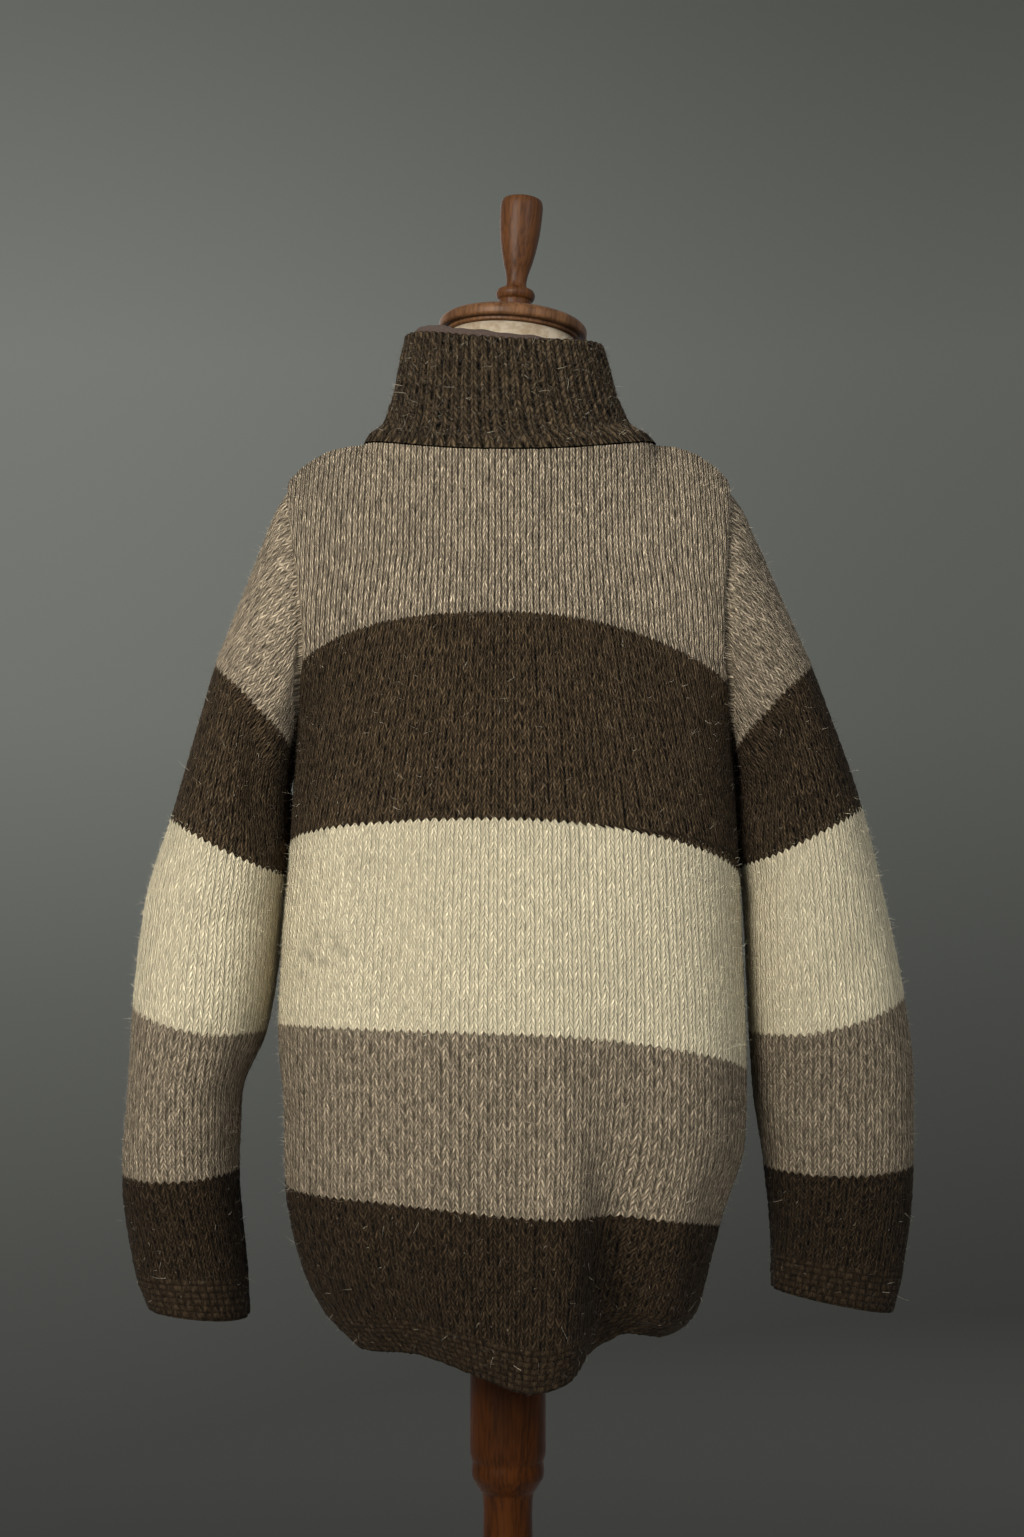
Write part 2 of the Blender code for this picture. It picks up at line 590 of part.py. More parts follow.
def make_facing(columns=34):
    """Soft cloth inside the collar that stands above its top edge and rolls inward."""
    turns = np.linspace(FACING_START, 1 - FACING_START, columns * 2 + 1)
    heights = np.array([0.56, 0.60, 0.70, 0.80, 0.90, 1.0])
    side = collar_grid(heights, turns)
    normals = collar_normals(side)
    stands = 1.0 - FACING_DROP * smooth_step(-0.2, 0.9, -side[-1, :, 0] / COLLAR_TOP_HALF)
    rows = []
    for row in FACING_ROWS:
        at = int(np.argmin(np.abs(heights - row.height)))
        inward = normals[at].copy()
        inward[:, 2] = 0.0
        place = side[at] - inward * (2 * GAP + row.inset)
        place[:, 2] += row.rise * stands
        rows.append(place)
    outer = np.array(rows)
    inner = outer - collar_normals(outer) * FACING_WALL
    return wall("collar_facing", outer[:, ::2], inner[:, ::2], "facing")


def zip_path(side):
    """One edge of the zip from hem to collar top: its points (y, z) on the outside of the cloth.

    They are those of the front's rows and of the collar's, so the tape lies along their walls.
    """
    middle = np.array([0.0])
    body = [body_row(c, side, -1, middle)[0, 1:] for c in (TAPE_START,) + BODY_COURSES[1:]]
    inside = collar_grid([r.height for r in COLLAR_ROWS], np.linspace(0.0, 1.0, RIBS * 2 + 1))
    edge = 0 if side > 0 else -1
    lift = collar_normals(inside)[:, edge] * (WALL + GAP)
    band = (inside[:, edge] + lift)[1:, 1:]
    band[-1] += (band[-2] - band[-1]) * TAPE_SHORT
    return np.concatenate([np.array(body), band])


def path_frame(path):
    """Outward and upward unit vectors along the zip, in the plane of y and z."""
    along = np.gradient(path, axis=0)
    along /= np.linalg.norm(along, axis=1)[:, None]
    return np.stack([-along[:, 1], along[:, 0]], axis=1), along


def make_zip_tape(side):
    """Half the zip: a flat tape behind the front's edge, thicker where its teeth are sewn."""
    path = zip_path(side)
    out, _ = path_frame(path)
    places = np.array([CHAIN_SPLIT, CHAIN_HALF, CHAIN_HALF + CHAIN_SLOPE, TAPE_HALF])
    raised = np.array([CHAIN_HEIGHT, CHAIN_HEIGHT, 0.0, 0.0])
    behind = WALL + 4 * GAP
    outer = np.zeros((len(path), len(places), 3))
    inner = np.zeros_like(outer)
    for j, (place, lift) in enumerate(zip(places, raised)):
        outer[:, j, 0] = inner[:, j, 0] = side * place
        outer[:, j, 1:] = path + out * (lift - behind)
        inner[:, j, 1:] = path - out * (behind + TAPE_WALL)
    name = "zip_tape_left" if side > 0 else "zip_tape_right"
    return wall(name, outer, inner, "tape")


def turned(name, profile, look, steps=20, parent=None):
    """A turned solid: the profile runs down the outer side, the axis closes both ends."""
    points = [(0.0, profile[0][1])] + list(profile) + [(0.0, profile[-1][1])]
    mesh = bpy.data.meshes.new(name)
    mesh.from_pydata([(r, 0.0, z) for r, z in points], [(i, i + 1) for i in range(len(points) - 1)], [])
    made = add_object(name, mesh, look)
    screw = made.modifiers.new("turn", "SCREW")
    screw.steps = screw.render_steps = steps
    screw.use_merge_vertices = True
    screw.merge_threshold = 0.00005
    screw.use_smooth_shade = True
    made.parent = parent
    return made


def make_torso(columns=28):
    """Cloth-covered torso: slices joined from hip to neck, closed flat at both ends."""
    angle = np.linspace(0, 2 * math.pi, columns, endpoint=False)
    bm = bmesh.new()
    rings = []
    for row in TORSO_ROWS:
        power = 2 / row.roundness
        x = row.half_x * np.sign(np.cos(angle)) * np.abs(np.cos(angle)) ** power
        y = row.mid_y + row.half_y * np.sign(np.sin(angle)) * np.abs(np.sin(angle)) ** power
        x = x + NECK_TOP_X * row.tilt
        z = row.z + x * math.tan(TILT) * row.tilt
        rings.append([bm.verts.new(p) for p in zip(x, y, z)])
    for low, high in zip(rings, rings[1:]):
        for j in range(columns):
            k = (j + 1) % columns
            bm.faces.new([low[j], low[k], high[k], high[j]])
    bm.faces.new(rings[0][::-1])
    bm.faces.new(rings[-1])
    bmesh.ops.recalc_face_normals(bm, faces=bm.faces)
    mesh = bpy.data.meshes.new("form_torso")
    bm.to_mesh(mesh)
    bm.free()
    mesh.shade_smooth()
    return add_object("form_torso", mesh, "linen")


# Zip slider and its pull tab, in the slider's own axes: x across, y out of the cloth, z up
SLIDER_HALF = (0.0045, 0.0055)
SLIDER_DEPTH = 0.0024
BRIDGE_HALF = 0.0008
BRIDGE_OPEN = (0.0026, 0.0056)
BRIDGE_BAR = 0.0012
PULL_HALF = 0.0032
PULL_BAR = 0.0010
PULL_EYE = (0.0015, 0.0040)
PULL_LENGTH = 0.0290
BITE = 0.0004           # how far blocks reach into each other before they are joined
SLIDER_SHARE = 0.965    # place of the slider along the zip
BOX_SIZE = (0.0075, 0.0040, 0.0075)


def zip_place(share, lift):
    """A place (y, z) along the zip, raised from the cloth's outside, and the zip's lean there."""
    path = resample(zip_path(1), np.linspace(0.0, 1.0, 400))
    out, along = path_frame(path)
    at = int(share * (len(path) - 1))
    return path[at] + out[at] * lift, math.atan2(-along[at][0], along[at][1])


def seat(name, share, lift, down=0.0):
    """An empty on the zip, turned to the slider's axes."""
    (y, z), lean = zip_place(share, lift)
    made = bpy.data.objects.new(name, None)
    PARTS.objects.link(made)
    made.location = (0.0, y + down * math.sin(lean), z - down * math.cos(lean))
    made.rotation_euler = (-lean, 0.0, math.pi)
    return made


def block(low, high, name):
    bm = bmesh.new()
    for vert in bmesh.ops.create_cube(bm, size=1.0)["verts"]:
        vert.co = [high[k] if vert.co[k] > 0 else low[k] for k in range(3)]
    mesh = bpy.data.meshes.new(name)
    bm.to_mesh(mesh)
    bm.free()
    return mesh


def joined(name, blocks, look, parent, operation="UNION"):
    """Blocks joined into one body, or the later ones cut out of the first, by Booleans."""
    made = add_object(name, block(*blocks[0], name), look)
    made.parent = parent
    for k, (low, high) in enumerate(blocks[1:]):
        helper = bpy.data.objects.new(f"{name}_tool_{k}", block(low, high, name))
        CUTTERS.objects.link(helper)
        helper.hide_render = True
        helper.display_type = "WIRE"
        helper.parent = parent
        step = made.modifiers.new(f"step_{k}", "BOOLEAN")
        step.operation = operation
        step.solver = "EXACT"
        step.object = helper
    return made


def make_slider_and_pull():
    """Slider near the top of the zip, and its pull tab hinged in the slider's bridge."""
    here = seat("slider_seat", SLIDER_SHARE, CHAIN_HEIGHT - WALL - 2 * GAP)
    half_x, half_z = SLIDER_HALF
    deep = SLIDER_DEPTH
    open_y, open_z = BRIDGE_OPEN[0], BRIDGE_OPEN[1] / 2
    top = deep + open_y + BRIDGE_BAR
    sunk = deep - BITE
    joined("zip_slider", (
        ((-half_x, 0.0, -half_z), (half_x, deep, half_z)),
        ((-BRIDGE_HALF, sunk, open_z), (BRIDGE_HALF, top, open_z + BRIDGE_BAR)),
        ((-BRIDGE_HALF, sunk, -open_z - BRIDGE_BAR), (BRIDGE_HALF, top, -open_z)),
        ((-BRIDGE_HALF, deep + open_y, -open_z - BITE), (BRIDGE_HALF, top - BITE / 4, open_z + BITE)),
    ), "metal", here)
    # The tab hangs from a bar through the bridge, whose middle line is the hinge
    hinge = bpy.data.objects.new("pull_hinge", None)
    PARTS.objects.link(hinge)
    hinge.parent = here
    hinge.location = (0.0, deep + open_y / 2, -open_z + PULL_BAR / 2 + GAP)
    half_bar = PULL_BAR / 2
    eye_x, eye_z = PULL_EYE
    joined("zip_pull", (
        ((-PULL_HALF, -half_bar, -PULL_LENGTH), (PULL_HALF, half_bar, half_bar)),
        ((-eye_x, -PULL_BAR, -half_bar - eye_z), (eye_x, PULL_BAR, -half_bar)),
    ), "metal", hinge, operation="DIFFERENCE")


def make_zip_box():
    """Stop at the bottom of the zip, just below the ends of its tapes."""
    here = seat("box_seat", 0.0, -WALL, down=GAP)
    wide, deep, high = BOX_SIZE
    joined("zip_box", (((-wide / 2, -deep / 2, -high), (wide / 2, deep / 2, 0.0)),), "metal", here)


def main():
    make_back()
    for side in (1, -1):
        make_front(side)
        make_sleeve(side)
        make_zip_tape(side)
    make_collar()
    make_facing()
    make_slider_and_pull()
    make_zip_box()
    make_torso()
    top = bpy.data.objects.new("neck_top", None)
    PARTS.objects.link(top)
    top.location = (NECK_TOP_X, TORSO_ROWS[-1].mid_y, NECK_TOP + NECK_TOP_X * math.tan(TILT) + GAP)
    top.rotation_euler = (0.0, -TILT, 0.0)
    turned("neck_cap", CAP_PROFILE, "wood", steps=28, parent=top)
    stem = turned("finial", FINIAL_PROFILE, "wood", steps=16, parent=top)
    stem.location = (0.0, 0.0, CAP_PROFILE[0][1])
    turned("pole", POLE_PROFILE, "dark_wood", steps=20)
    turned("base", BASE_PROFILE, "dark_wood", steps=40)


clear_scene()
PARTS = collection("sweater_on_form")
CUTTERS = collection("cutters")
main()
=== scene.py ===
"""Zip-up sweater on its dress form: knitted cloth, fuzz, zip, wood, light and camera.

The knit is laid as thin shells on the solids' own rows, with UVs in stitches: u counts the
columns of stitches, v the knitted rows. The tables are those of the part, in metres.
"""
import math
from collections import namedtuple

import bpy
import numpy as np
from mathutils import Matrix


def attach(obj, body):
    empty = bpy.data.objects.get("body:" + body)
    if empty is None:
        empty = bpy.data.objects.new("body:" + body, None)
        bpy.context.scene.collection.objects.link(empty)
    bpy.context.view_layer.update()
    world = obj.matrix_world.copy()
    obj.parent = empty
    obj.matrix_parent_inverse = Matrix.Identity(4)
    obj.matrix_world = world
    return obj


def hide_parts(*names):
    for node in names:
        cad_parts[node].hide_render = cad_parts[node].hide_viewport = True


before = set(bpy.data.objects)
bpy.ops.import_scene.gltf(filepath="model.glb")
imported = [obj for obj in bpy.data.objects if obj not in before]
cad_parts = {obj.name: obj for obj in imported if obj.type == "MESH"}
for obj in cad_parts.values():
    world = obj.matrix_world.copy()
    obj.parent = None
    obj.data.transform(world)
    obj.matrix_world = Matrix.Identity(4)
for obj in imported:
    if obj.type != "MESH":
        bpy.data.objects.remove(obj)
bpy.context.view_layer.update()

GARMENT = "sweater_on_form"
SIDES = {1: "left", -1: "right"}
RANDOM = np.random.default_rng(20448)

# Driving sizes of the cloth
COURSE = 0.0050         # height of one knitted row
WALL = 0.0035           # thickness of the knit
GAP = 0.0003            # space between neighbouring pieces
ROUNDNESS = 2.4         # superellipse exponent of the rows of the body
UNDERARM = 101          # row where the armhole starts
YOKE = 115              # row above which the panels bend over the shoulders
TOP = 143               # row of the shoulder and neck seams
ZIP_HALF = 0.0065       # from the middle of the zip to a front's edge

# Neck and shoulder seams
NECK_SHARE = 0.64       # part of half the back's width that meets the collar
NECK_HALF = {1: 0.1160, -1: 0.1190}
NECK_BACK = (0.093, 1.4044)
NECK_FRONT = (-0.104, 1.350)
NECK_POINT = (0.012, 1.4268)
NECK_POWER = 1.70       # exponent of the neck opening in plan: below 2 it narrows to its sides
NECK_EASE = 0.13        # share of a panel's width over which its top edge's corner is eased
SHOULDER_HALF = {1: 0.1805, -1: 0.1815}
SHOULDER_Y = 0.005
SHOULDER_DROP = 0.0305

# Collar
RIBS = 66
RIB_HEIGHT = 0.0017
COLLAR_TOP_HALF = 0.0766
COLLAR_TOP_X = 0.0029
COLLAR_TOP_BACK = 0.0665
COLLAR_TOP_FRONT = -0.0785
COLLAR_TOP_Z = {"back": 1.4985, "side": 1.5125, "front": 1.4620}
COLLAR_TILT = 0.060     # the top edge is higher on the wearer's left
COLLAR_LIFT = 0.0006    # the collar's lower edge stands this far above the neck seam
COLLAR_CLEAR = 0.0006   # and this far outside it
COLLAR_MIDDLE_Y = -0.006
FACING_WALL = 0.0020
TAPE_HALF = 0.0105
TAPE_WALL = 0.0012
TAPE_START = 1.5        # row of the front where a tape starts

# Dress form
TILT = math.radians(4.0)
NECK_RADIUS = 0.0520
NECK_TOP = 1.5200
NECK_TOP_X = -0.0035

BodyRow = namedtuple("BodyRow", "course back_z front_z left right back front "
                                "cut_back cut_front lift_left lift_right bend")
BODY_ROWS = [BodyRow(*row) for row in (
    (0, 0.7206, 0.707, 0.121, 0.127, 0.112, 0.112, 0, 0, 0.004, 0.002, 1.6),
    (7, 0.7459, 0.740, 0.146, 0.147, 0.127, 0.125, 0, 0, 0.002, -0.005, 1.6),
    (14, 0.7756, 0.774, 0.161, 0.155, 0.135, 0.133, 0, 0, 0.002, -0.010, 1.6),
    (25, 0.8245, 0.828, 0.174, 0.168, 0.140, 0.140, 0, 0, 0.0135, -0.0125, 1.6),
    (38, 0.8872, 0.890, 0.176, 0.186, 0.139, 0.143, 0, 0, 0.012, -0.017, 1.7),
    (51, 0.9520, 0.955, 0.181, 0.188, 0.135, 0.143, 0, 0, 0.008, -0.021, 1.8),
    (67, 1.0296, 1.032, 0.179, 0.186, 0.128, 0.141, 0, 0, -0.002, -0.025, 2.0),
    (84, 1.1107, 1.110, 0.174, 0.184, 0.120, 0.139, 0, 0, -0.014, -0.030, 2.2),
    (101, 1.1955, 1.184, 0.171, 0.181, 0.112, 0.135, 0, 0, -0.0265, -0.0345, 2.4),
    (108, 1.2321, 1.217, 0.174, 0.184, 0.109, 0.130, 0.042, 0.040, -0.0305, -0.0345, 2.6),
    (115, 1.2696, 1.2495, 0.184, 0.1945, 0.106, 0.125, 0.060, 0.056, -0.033, -0.033, 2.8),
)]

# The hem hangs lower in two places: where (share of the half width, + is left), how wide, how
# deep, and over how many rows it fades upward
Dip = namedtuple("Dip", "place width depth rows")
DIPS = [Dip(*row) for row in (
    (-0.08, 0.28, 0.0280, 20.0),
    (0.60, 0.26, 0.0060, 8.0),
)]

# Large soft folds of the back: where (share of the half width, + is left), how wide, how deep,
# and the rows between which it fades out
Fold = namedtuple("Fold", "place width depth full_row last_row")
FOLDS = [Fold(*row) for row in (
    (-0.40, 0.115, -0.013, 8, 92),
    (-0.17, 0.110, 0.005, 8, 80),
    (0.38, 0.120, -0.004, 20, 100),
    (0.68, 0.120, 0.004, 10, 90),
)]

SleeveRow = namedtuple("SleeveRow", "course out_x out_z in_x in_z depth sag")
SLEEVE_ROWS = {side: [SleeveRow(*row) for row in rows] for side, rows in ((1, (
    (0, 0.2820, 0.7425, 0.2030, 0.7350, 0.0535, 0.000),
    (6, 0.2920, 0.7695, 0.2050, 0.7665, 0.0555, 0.000),
    (23, 0.3033, 0.8485, 0.2130, 0.8505, 0.0655, 0.005),
    (35, 0.2995, 0.9110, 0.2113, 0.9060, 0.0695, 0.008),
    (47, 0.2965, 0.9800, 0.1915, 0.9590, 0.0735, 0.010),
    (60, 0.2880, 1.0575, 0.1820, 1.0195, 0.0765, 0.008),
    (74, 0.2675, 1.1275, 0.1770, 1.0795, 0.0785, 0.004),
    (96, 0.2335, 1.2515, 0.1740, 1.1440, 0.0735, 0.000),
)), (-1, (
    (0, 0.3020, 0.7385, 0.2070, 0.7570, 0.0435, 0.000),
    (6, 0.3100, 0.7695, 0.2070, 0.7840, 0.0455, 0.000),
    (23, 0.3200, 0.8550, 0.2020, 0.8530, 0.0525, 0.006),
    (35, 0.3205, 0.9210, 0.1945, 0.9060, 0.0565, 0.009),
    (47, 0.3135, 0.9870, 0.1915, 0.9580, 0.0635, 0.011),
    (60, 0.2985, 1.0645, 0.1895, 1.0245, 0.0695, 0.008),
    (74, 0.2815, 1.1360, 0.1877, 1.0875, 0.0735, 0.004),
    (96, 0.2420, 1.2510, 0.1845, 1.1450, 0.0715, 0.000),
)))}
SLEEVE_ROUNDNESS = 2.2
CAP_CREST = 0.0010      # how far the sleeve's head puffs out past a straight loft

# Collar profile: share of its height, share of the way in from the seam to the top edge
CollarRow = namedtuple("CollarRow", "height inset")
COLLAR_ROWS = [CollarRow(*row) for row in (
    (0.00, 0.00),
    (0.16, 0.50),
    (0.33, 0.65),
    (0.52, 0.78),
    (0.76, 0.88),
    (1.00, 1.00),
)]

# Horizontal slices of the torso: height, half width, half depth, middle in y, roundness, tilt
TorsoRow = namedtuple("TorsoRow", "z half_x half_y mid_y roundness tilt")
TORSO_ROWS = [TorsoRow(*row) for row in (
    (0.800, 0.143, 0.104, -0.002, 2.3, 0.0),
    (0.860, 0.150, 0.110, -0.002, 2.3, 0.0),
    (0.940, 0.146, 0.104, -0.003, 2.3, 0.0),
    (1.030, 0.124, 0.090, -0.006, 2.3, 0.0),
    (1.120, 0.132, 0.096, -0.008, 2.3, 0.0),
    (1.200, 0.148, 0.100, -0.010, 2.3, 0.0),
    (1.275, 0.152, 0.092, -0.004, 2.3, 0.0),
    (1.325, 0.156, 0.070, 0.004, 2.1, 0.0),
    (1.366, 0.160, 0.047, 0.011, 1.7, 0.0),
    (1.388, 0.163, 0.041, 0.013, 1.35, 0.0),
    (1.4024, 0.157, 0.042, 0.013, 1.2, 0.0),
    (1.4111, 0.146, 0.043, 0.0125, 1.1, 0.0),
    (1.4172, 0.128, 0.044, 0.0110, 1.1, 0.0),
    (1.4255, 0.080, 0.047, 0.006, 1.5, 0.1),
    (1.4420, 0.060, 0.051, -0.003, 2.0, 0.3),
    (NECK_TOP, NECK_RADIUS, NECK_RADIUS, -0.004, 2.0, 1.0),
)]

# Turned profiles, outer side from top to bottom: (radius, height)
CAP_PROFILE = ((0.0160, 0.0168), (0.0400, 0.0163), (0.0530, 0.0148), (0.0585, 0.0122),
               (0.0608, 0.0085), (0.0606, 0.0050), (0.0588, 0.0030), (0.0552, 0.0027),
               (0.0548, 0.0004))
FINIAL_PROFILE = ((0.0120, 0.1017), (0.0163, 0.0998), (0.0176, 0.0940), (0.0170, 0.0782),
                  (0.0156, 0.0654), (0.0123, 0.0483), (0.0090, 0.0362), (0.0083, 0.0302),
                  (0.0096, 0.0254), (0.0148, 0.0234), (0.0161, 0.0197), (0.0150, 0.0162),
                  (0.0133, 0.0145), (0.0130, 0.0090), (0.0136, 0.0003))
POLE_PROFILE = ((0.0298, 0.7997), (0.0298, 0.6310), (0.0290, 0.6255), (0.0279, 0.6220),
                (0.0285, 0.6150), (0.0279, 0.6105), (0.0262, 0.6070), (0.0232, 0.6020),
                (0.0205, 0.5980), (0.0196, 0.5930), (0.0191, 0.5820), (0.0208, 0.5350),
                (0.0250, 0.4000),
                (0.0280, 0.2500), (0.0290, 0.1500), (0.0270, 0.0900), (0.0240, 0.0700),
                (0.0330, 0.0640), (0.0350, 0.0560), (0.0330, 0.0480), (0.0420, 0.0400),
                (0.0500, 0.0303))
BASE_PROFILE = ((0.0600, 0.0300), (0.1500, 0.0290), (0.1900, 0.0260), (0.2010, 0.0220),
                (0.2050, 0.0150), (0.2050, 0.0040), (0.2020, 0.0))

def curve_through(places, values, at):
    """Monotone cubic curve through (places, values), read at one place or at many."""
    places = np.asarray(places, float)
    values = np.asarray(values, float)
    step = np.diff(places)
    slope = np.diff(values) / step
    tangent = np.empty_like(values)
    tangent[0], tangent[-1] = slope[0], slope[-1]
    same_way = slope[:-1] * slope[1:] > 0
    mean = 2 * slope[:-1] * slope[1:] / np.where(same_way, slope[:-1] + slope[1:], 1.0)
    tangent[1:-1] = np.where(same_way, mean, 0.0)
    at = np.asarray(at, float)
    i = np.clip(np.searchsorted(places, at, side="right") - 1, 0, len(step) - 1)
    t = (at - places[i]) / step[i]
    rise = values[i + 1] - values[i]
    start = tangent[i] * step[i]
    end = tangent[i + 1] * step[i]
    return values[i] + t * start + t * t * (3 * rise - 2 * start - end) + t ** 3 * (start + end - 2 * rise)


def column(rows, name, at, key="course"):
    """One column of a table, read between its rows by a smooth curve."""
    return curve_through([getattr(r, key) for r in rows], [getattr(r, name) for r in rows], at)


def smooth_step(low, high, value):
    t = np.clip((value - low) / (high - low), 0.0, 1.0)
    return t * t * (3 - 2 * t)


def unit(vectors):
    """Vectors brought to length 1."""
    return vectors / np.maximum(np.linalg.norm(vectors, axis=-1, keepdims=True), 1e-12)


def run_of(points, axis=0):
    """Length along lines of points, from their start to each point."""
    steps = np.linalg.norm(np.diff(points, axis=axis), axis=-1)
    return np.concatenate([steps.take([0], axis) * 0.0, np.cumsum(steps, axis=axis)], axis=axis)


def resample(points, shares):
    """Points at given shares of the length of a line of points."""
    length = run_of(points)
    length /= length[-1]
    return np.stack([np.interp(shares, length, values) for values in points.T], axis=1)


def fold_depth(share, course):
    """Outward push of the back's folds at signed shares of the half width."""
    total = np.zeros_like(share)
    for fold in FOLDS:
        fade = 1.0 - smooth_step(fold.full_row, fold.last_row, course)
        total += fold.depth * fade * np.exp(-((share - fold.place) / fold.width) ** 2)
    return total


def hem_dip(share, course):
    """How much lower a row of the back hangs at signed shares of the half width."""
    total = np.zeros_like(share)
    for dip in DIPS:
        across = np.exp(-np.abs((share - dip.place) / dip.width) ** 1.6)
        total += dip.depth * math.exp(-course / dip.rows) * across
    return total


def level_row(course, side, face, shares):
    """Half a row below the yoke, from the middle (share 0) to its side edge (share 1)."""
    flank, panel = SIDES[side], "back" if face > 0 else "front"
    names = (flank, panel, f"cut_{panel}", f"{panel}_z", f"lift_{flank}", "back_z", "bend")
    half, deep, cut, middle_z, lift, back_z, bend = (column(BODY_ROWS, name, course) for name in names)
    end = math.acos(min(1.0, max(0.0, float(cut / deep))) ** (ROUNDNESS / 2))
    angle = np.linspace(0.0, end, 160)
    x = half * np.sin(angle) ** (2 / ROUNDNESS)
    y = deep * np.clip(np.cos(angle), 0, 1) ** (2 / ROUNDNESS)
    line = np.stack([x, y], axis=1)
    if face < 0:
        first = int(np.argmax(x > ZIP_HALF))
        line = np.concatenate(([[ZIP_HALF, np.interp(ZIP_HALF, x, y)]], line[first:]))
    plan = resample(line, shares)
    z = middle_z + (back_z + lift - middle_z) * shares ** bend
    if face > 0:
        ahead, behind = (resample(line, np.clip(shares + step, 0, 1)) for step in (0.01, -0.01))
        around = unit(ahead - behind)
        push = fold_depth(side * shares, course)
        plan = plan + push[:, None] * np.stack([-around[:, 1], around[:, 0]], axis=1)
        z = z - hem_dip(side * shares, course)
    return np.stack([side * plan[:, 0], face * plan[:, 1], z], axis=1)


def neck_seam(side, face, shares):
    """Seam between a panel and the collar, from the middle (0) to the neck point (1)."""
    middle_y, middle_z = NECK_BACK if face > 0 else NECK_FRONT
    point_y, point_z = NECK_POINT
    start_x = 0.0 if face > 0 else ZIP_HALF
    angle = np.linspace(0.0, math.pi / 2, 80)
    across = np.sin(angle) ** (2 / NECK_POWER)
    x = start_x + (NECK_HALF[side] - start_x) * across
    y = point_y + (middle_y - point_y) * np.clip(np.cos(angle), 0, 1) ** (2 / NECK_POWER)
    z = middle_z + (point_z - middle_z) * across ** 2
    return resample(np.stack([side * x, y, z], axis=1), shares)


def top_edge(side, face, shares):
    """Upper edge of a panel: the neck seam, then the shoulder seam."""
    neck = neck_seam(side, face, np.clip(shares / NECK_SHARE, 0, 1))
    along = np.clip((shares - NECK_SHARE) / (1 - NECK_SHARE), 0, 1)
    x = NECK_HALF[side] + (SHOULDER_HALF[side] - NECK_HALF[side]) * along
    y = NECK_POINT[0] + (SHOULDER_Y - NECK_POINT[0]) * along + face * GAP / 2
    z = NECK_POINT[1] - SHOULDER_DROP * along ** 2.5
    shoulder = np.stack([side * x, y, z], axis=1)
    return np.where((shares > NECK_SHARE)[:, None], shoulder, neck)


def eased_edge(side, face, shares):
    """The top edge with its corner at the neck point spread over the panel's width."""
    reach = np.minimum(NECK_EASE, np.minimum(shares, 1 - shares))
    steps = np.linspace(-1.0, 1.0, 9)
    return sum(top_edge(side, face, shares + reach * step) for step in steps) / len(steps)


def body_row(course, side, face, shares):
    """Half a row of the body: level up to the yoke, bent over the shoulder above it."""
    if course <= YOKE:
        return level_row(course, side, face, shares)
    start = level_row(YOKE, side, face, shares)
    leave = (start - level_row(YOKE - 3, side, face, shares)) / 3
    end = top_edge(side, face, shares)
    over = smooth_step(NECK_SHARE - 0.40, NECK_SHARE + 0.10, shares)[:, None]
    at_neck = np.array([0.0, -0.30 * face, 0.95]) * COURSE
    at_shoulder = np.array([0.0, -0.80 * face, 0.60]) * COURSE
    arrive = at_neck * (1 - over) + at_shoulder * over
    third = (TOP - YOKE) / 3
    t = (course - YOKE) / (TOP - YOKE)
    a = start + leave * third
    b = eased_edge(side, face, shares) - arrive * third
    return (1 - t) ** 3 * start + 3 * t * (1 - t) ** 2 * a + 3 * t * t * (1 - t) * b + t ** 3 * end


def grid_normals(grid):
    """Unit normals of a fine grid of points: rows run up, columns run to the right of them."""
    return unit(np.cross(np.gradient(grid, axis=1), np.gradient(grid, axis=0)))


def rounded(wave, roundness):
    """A sine or cosine bent to a superellipse's, with its sign kept."""
    return np.sign(wave) * np.abs(wave) ** (2 / roundness)


def sleeve_ring(side, course, turns):
    """A ring of a sleeve at its turns: 0 is its outer line, 0.5 and -0.5 its inner one."""
    out_x, out_z, in_x, in_z, depth, sag = (
        column(SLEEVE_ROWS[side], name, course) for name in SleeveRow._fields[1:])
    angle = turns * 2 * math.pi
    lengthwise = rounded(np.cos(angle), SLEEVE_ROUNDNESS)
    x = (out_x + in_x) / 2 + (out_x - in_x) / 2 * lengthwise
    z = (out_z + in_z) / 2 + (out_z - in_z) / 2 * lengthwise - sag * np.sin(angle) ** 2
    return np.stack([side * x, depth * rounded(np.sin(angle), SLEEVE_ROUNDNESS), z], axis=1)


def neck_loop(turns):
    """Collar seam once round, from the zip (0) by the left neck point and the back to the zip."""
    shares = np.linspace(0.0, 1.0, 60)
    lines = [neck_seam(1, -1, shares), neck_seam(1, 1, shares)[::-1],
             neck_seam(-1, 1, shares), neck_seam(-1, -1, shares)[::-1]]
    return resample(np.concatenate(lines), turns)


def collar_top(turns):
    """Upper edge of the collar once round, level with the neck loop's points."""
    start = math.asin((ZIP_HALF - COLLAR_TOP_X) / COLLAR_TOP_HALF)
    end = math.asin((ZIP_HALF + COLLAR_TOP_X) / COLLAR_TOP_HALF)
    angle = np.linspace(start, 2 * math.pi - end, 361)
    x = COLLAR_TOP_X + COLLAR_TOP_HALF * np.sin(angle)
    ahead = np.cos(angle) > 0
    y = np.where(ahead, COLLAR_TOP_FRONT, -COLLAR_TOP_BACK) * np.cos(angle)
    end_z = np.where(ahead, COLLAR_TOP_Z["front"], COLLAR_TOP_Z["back"])
    z = COLLAR_TOP_Z["side"] + (end_z - COLLAR_TOP_Z["side"]) * np.cos(angle) ** 2 + COLLAR_TILT * x
    return resample(np.stack([x, y, z], axis=1), turns)


